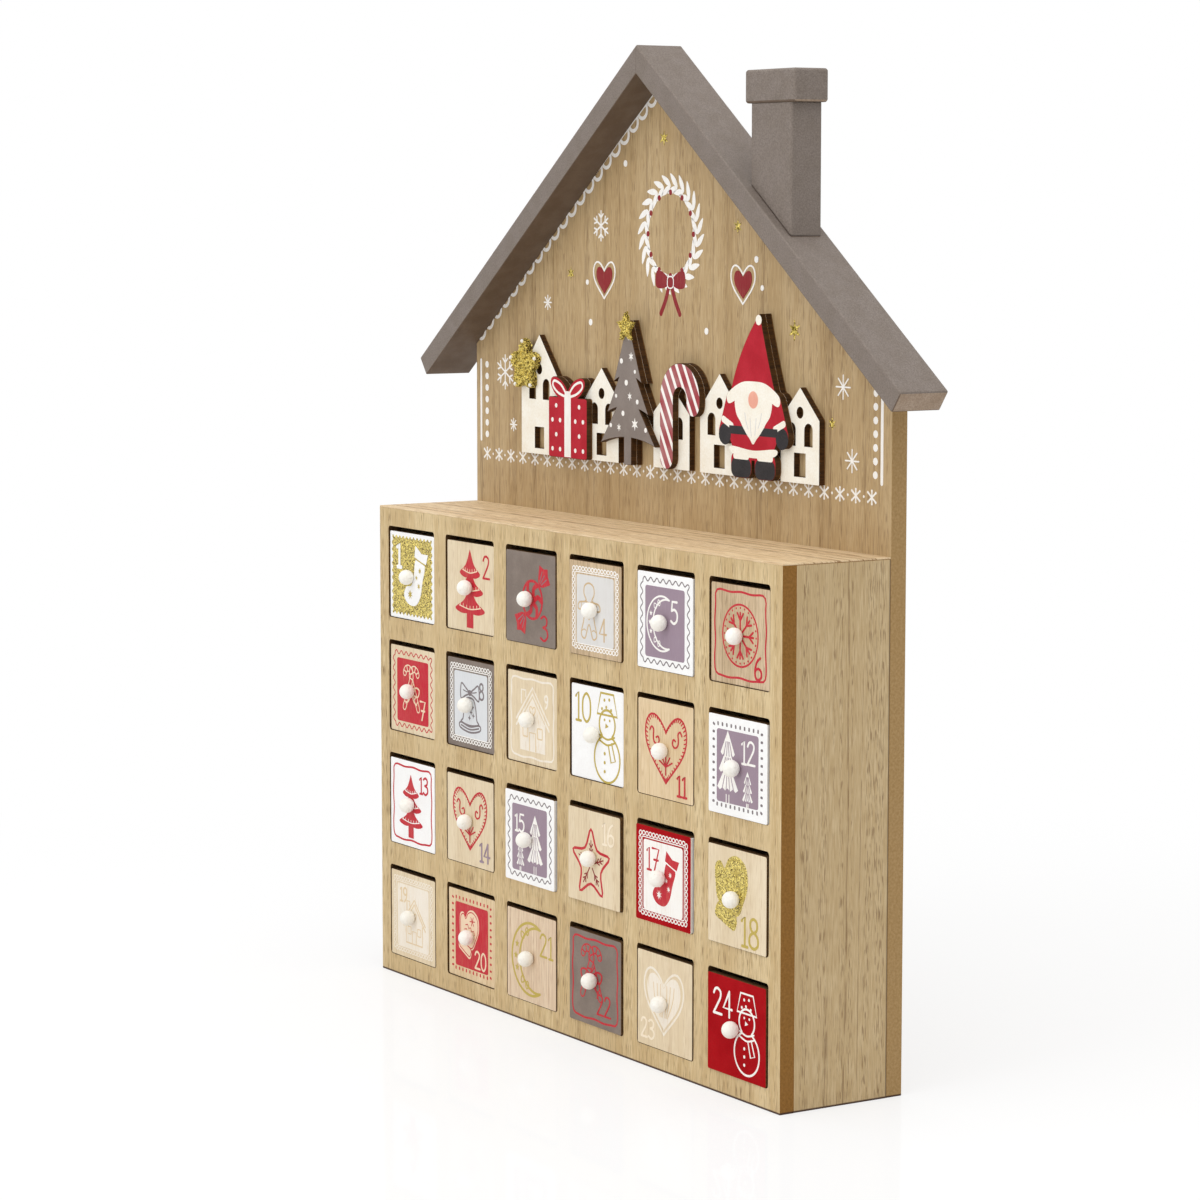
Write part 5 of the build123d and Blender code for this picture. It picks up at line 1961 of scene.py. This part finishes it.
@dataclass
class Drawer:
    """One drawer: its box with a painted bead for a knob, and the print on its front."""

    number: int
    design: Design
    ease: float = 0.25
    knob_reach: float = 3.6
    front_depth: float = 3.0
    frame_line: float = 0.8
    panel_margin: Point = (11.0, 9.8)
    panel_radius: float = 1.1
    glitter_passes: int = 110
    sprinkle: Sprinkle = Sprinkle(7.0, 0.3, 0.6, FINE_GLITTER)

    def __post_init__(self) -> None:
        """Reads the drawer's place from the frame."""
        self.node = f"drawer_{self.number:02d}"
        low, high = span_mm(self.node)
        top_edge = [corner for corner in corners_mm(self.node) if abs(corner.z - high.z) < 0.01]
        self.face_y = min(corner.y for corner in top_edge)
        self.width, self.height = high.x - low.x, high.z - low.z
        self.centre = ((low.x + high.x) / 2, (low.z + high.z) / 2)

    def build(self) -> None:
        """Makes the drawer with its front, plain tray and white bead, and prints its front."""
        face, edge, slot = self.design.face.value
        mesh = eased(self.node, self.ease, (face, edge, PLAIN_BOARD, KNOB_PAINT, WINDOW_EDGE), self.part)
        publish(self.node + "_box", mesh, self.node, slot, self.node)
        self.print_front()

    def part(self, face: BMFace) -> int:
        """Gives 0 for the front, 1 for its edges, 2 for the tray, 3 for the bead and 4 for the top.

        Args:
            face: The face.

        Returns:
            The number of its finish.
        """
        middle = face.calc_center_median() / MM
        from_knob = hypot(middle.x - self.centre[0], middle.z - self.centre[1])
        if middle.y < self.face_y - 0.02 and from_knob < self.knob_reach:
            face.smooth = True
            return 3
        if middle.y > self.face_y + self.front_depth - 0.05:
            return 2
        if face.normal.y < -FACING:
            return 0
        return 4 if face.normal.z > FACING else 1

    def print_front(self) -> None:
        """Prints the border, the panel, the picture and the number."""
        film, design = Film(self.centre, self.face_y), self.design
        rows = self.print_border(film)
        if design.panel is FINE_GLITTER:
            film.passes += self.glitter_passes
        film.aim(self.from_middle(design.place), design.turn, design.size, design.flip)
        Artist(film, design).draw(design.motif)
        film.aim(self.centre)
        film.number(str(self.number), design.number_place, design.number_height,
                    design.number_ink or design.ink, design.number_width)
        meshes = [film.mesh(self.node + "_ink"), *rows]
        if FINE_GLITTER in (design.panel, design.ink):
            meshes.append(self.sprinkle.over(self.glue(meshes[0]), self.number))
        publish(self.node + "_print", joined(self.node + "_print", meshes), self.node, "cream_paint")

    def from_middle(self, point: Point) -> Point:
        """Gives the place in the frame of a point about the middle of the front."""
        return self.centre[0] + point[0], self.centre[1] + point[1]

    def print_border(self, film: Film) -> list[Mesh]:
        """Prints what frames the picture, and its panel.

        Args:
            film: The film that takes the lines and the panel.

        Returns:
            The rows of dots or rings, which are meshes of their own.
        """
        design, kind, rows, shape = self.design, self.design.border, [], Film()
        if kind is Border.FRAME:
            film.stroke(waved(self.inset(2.6, 2.5), 0.25, 9), self.frame_line, design.border_ink, closed=True)
        elif kind is Border.STAMP:
            film.fill(waved(self.inset(2.1, 0.6), 0.55, 44), design.panel)
        elif kind is Border.WAVE:
            film.stroke(waved(self.inset(2.9, 1.5), 0.8, 29), 0.5, design.border_ink, closed=True)
        elif kind is Border.DOTS:
            shape.fill(rounded(0.95, 1.5, 0.4), design.border_ink)
            rows.append(self.border_row(3.4, 42, shape))
        elif kind is Border.LACE:
            film.stroke(self.inset(4.4, 0.6), 0.4, design.border_ink, closed=True)
            shape.stroke(rounded(1.8, 1.5, 0.7), 0.45, design.border_ink, closed=True)
            rows.append(self.border_row(3.0, 54, shape))
        if design.panel and kind is not Border.STAMP:
            width, height = self.width - self.panel_margin[0], self.height - self.panel_margin[1]
            film.fill(rounded(width, height, self.panel_radius, (0.0, -0.3)), design.panel)
        return rows

    def inset(self, margin: float, radius: float) -> list[Point]:
        """Draws a rounded frame at a distance inside the edges of the front."""
        return rounded(self.width - 2 * margin, self.height - 2 * margin, radius)

    def border_row(self, margin: float, count: int, shape: Film) -> Mesh:
        """Prints copies of a shape round the picture."""
        placed = [self.from_middle(point) for point in self.inset(margin, 0.8)]
        return row(placed, self.face_y, count, shape, self.design.border_ink, closed=True)

    def glue(self, mesh: Mesh) -> Mesh:
        """Copies the front faces of a print that the glitter sticks to.

        Args:
            mesh: The print.

        Returns:
            The faces.
        """
        base = bmesh.new()
        base.from_mesh(mesh)
        gold = [index for index, slot in enumerate(mesh.materials) if slot.name == FINE_GLITTER.name]
        others = [face for face in base.faces if face.material_index not in gold or face.normal.y > -FACING]
        bmesh.ops.delete(base, geom=others, context="FACES")
        return plain_mesh("glue", base)


# Studio


@dataclass
class Studio:
    """White floor, soft light and the camera of the photograph."""

    camera_place: Triple = (1.1956, -0.7593, 0.3284)
    camera_yaw: float = 57.941
    camera_pitch: float = 6.278
    lens: float = 107.71
    sky: float = 0.7
    lamp_aim: Triple = (0.0, 0.0, 0.15)
    top_place: Triple = (0.25, -0.25, 1.5)
    top_size: float = 1.6
    top_power: float = 12.4
    front_place: Triple = (0.1, -1.9, 0.9)
    front_size: float = 1.4
    front_power: float = 7.9
    floor_reach: float = 4.0
    floor_bounce: float = 0.86
    floor_shadow: float = 0.3
    floor_glow: float = 0.65
    floor_gloss: float = 0.06
    shadow_end: Point = (0.25, 0.6)

    def build(self) -> None:
        """Sets up the view, the light and the floor."""
        scene = bpy.context.scene
        scene.view_settings.view_transform = "Standard"
        self.build_camera(scene)
        self.build_world(scene)
        self.build_lamp("top_lamp", self.top_place, self.top_size, self.top_power)
        self.build_lamp("front_lamp", self.front_place, self.front_size, self.front_power)
        self.build_floor()

    def build_camera(self, scene: Scene) -> None:
        """Places the camera.

        Args:
            scene: The scene.
        """
        data = bpy.data.cameras.new("camera")
        data.lens = self.lens
        camera = bpy.data.objects.new("camera", data)
        camera.location = self.camera_place
        camera.rotation_euler = (radians(90 - self.camera_pitch), 0.0, radians(self.camera_yaw))
        scene.collection.objects.link(camera)
        scene.camera = camera

    def build_world(self, scene: Scene) -> None:
        """Makes a white surround that lights the object at a plain level.

        Args:
            scene: The scene.
        """
        world = bpy.data.worlds.new("surround")
        world.use_nodes = True
        graph = Graph(world.node_tree)
        ray = graph.add("ShaderNodeLightPath").outputs
        plain = graph.math("MAXIMUM", ray["Is Camera Ray"], ray["Is Glossy Ray"])
        seen = graph.math("MAXIMUM", plain, ray["Is Transmission Ray"])
        graph.feed(world.node_tree.nodes["Background"],
                   {"Color": (1.0, 1.0, 1.0, 1.0), "Strength": graph.span(seen, self.sky, 1.0)})
        scene.world = world

    def build_lamp(self, name: str, place: Triple, size: float, power: float) -> None:
        """Hangs a square soft lamp.

        Args:
            name: Its name.
            place: Its place, in metres.
            size: Length of its sides, in metres.
            power: Its power, in watts.
        """
        data = bpy.data.lights.new(name, "AREA")
        data.energy = power
        data.size = size
        lamp = bpy.data.objects.new(name, data)
        lamp.location = place
        lamp.rotation_euler = (Vector(self.lamp_aim) - Vector(place)).to_track_quat("-Z", "Y").to_euler()
        bpy.context.scene.collection.objects.link(lamp)

    def floor_material(self) -> Material:
        """Makes a white that keeps the shadow and a faint reflection near the object.

        Returns:
            The material.
        """
        material = bpy.data.materials.new("floor_white")
        material.use_nodes = True
        nodes = material.node_tree.nodes
        graph, shader = Graph(material.node_tree), nodes["Principled BSDF"]
        ray = graph.add("ShaderNodeLightPath").outputs["Is Camera Ray"]
        level = graph.span(ray, self.floor_bounce, self.floor_shadow)
        grey = graph.add("ShaderNodeCombineColor", {0: level, 1: level, 2: level}).outputs[0]
        graph.feed(shader, {"Base Color": grey, "Roughness": 0.9, "Specular IOR Level": 0.0})
        gloss = graph.add("ShaderNodeBsdfGlossy", {"Roughness": 0.05}).outputs[0]
        sheen = graph.add("ShaderNodeMixShader", {0: self.floor_gloss, 1: shader.outputs[0], 2: gloss})
        glow = graph.add("ShaderNodeEmission", {"Strength": graph.times(ray, self.floor_glow)})
        near = graph.add("ShaderNodeAddShader", {0: sheen.outputs[0], 1: glow.outputs[0]}).outputs[0]
        place = graph.add("ShaderNodeTexCoord").outputs["Object"]
        distance = graph.add("ShaderNodeVectorMath", {0: place}, operation="LENGTH").outputs["Value"]
        away = graph.times(graph.ramp(distance, *self.shadow_end), ray)
        white = graph.add("ShaderNodeEmission").outputs[0]
        both = graph.add("ShaderNodeMixShader", {0: away, 1: near, 2: white}).outputs[0]
        graph.feed(nodes["Material Output"], {"Surface": both})
        return material

    def build_floor(self) -> None:
        """Lays the white floor."""
        reach = self.floor_reach
        mesh = bpy.data.meshes.new("floor")
        mesh.from_pydata([(-reach, -reach, 0), (reach, -reach, 0), (reach, reach, 0), (-reach, reach, 0)], [],
                         [(0, 1, 2, 3)])
        mesh.materials.append(self.floor_material())
        floor = bpy.data.objects.new("floor", mesh)
        bpy.context.scene.collection.objects.link(floor)


def main() -> None:
    """Builds the sub-assemblies in order."""
    logging.basicConfig(level=logging.INFO, format="%(name)s: %(message)s")
    Studio().build()
    Carcass().build()
    Roof().build()
    Fretwork().build()
    GablePrint().build()
    for number, design in enumerate(DESIGNS, 1):
        Drawer(number, design).build()


if __name__ == "__main__":
    main()
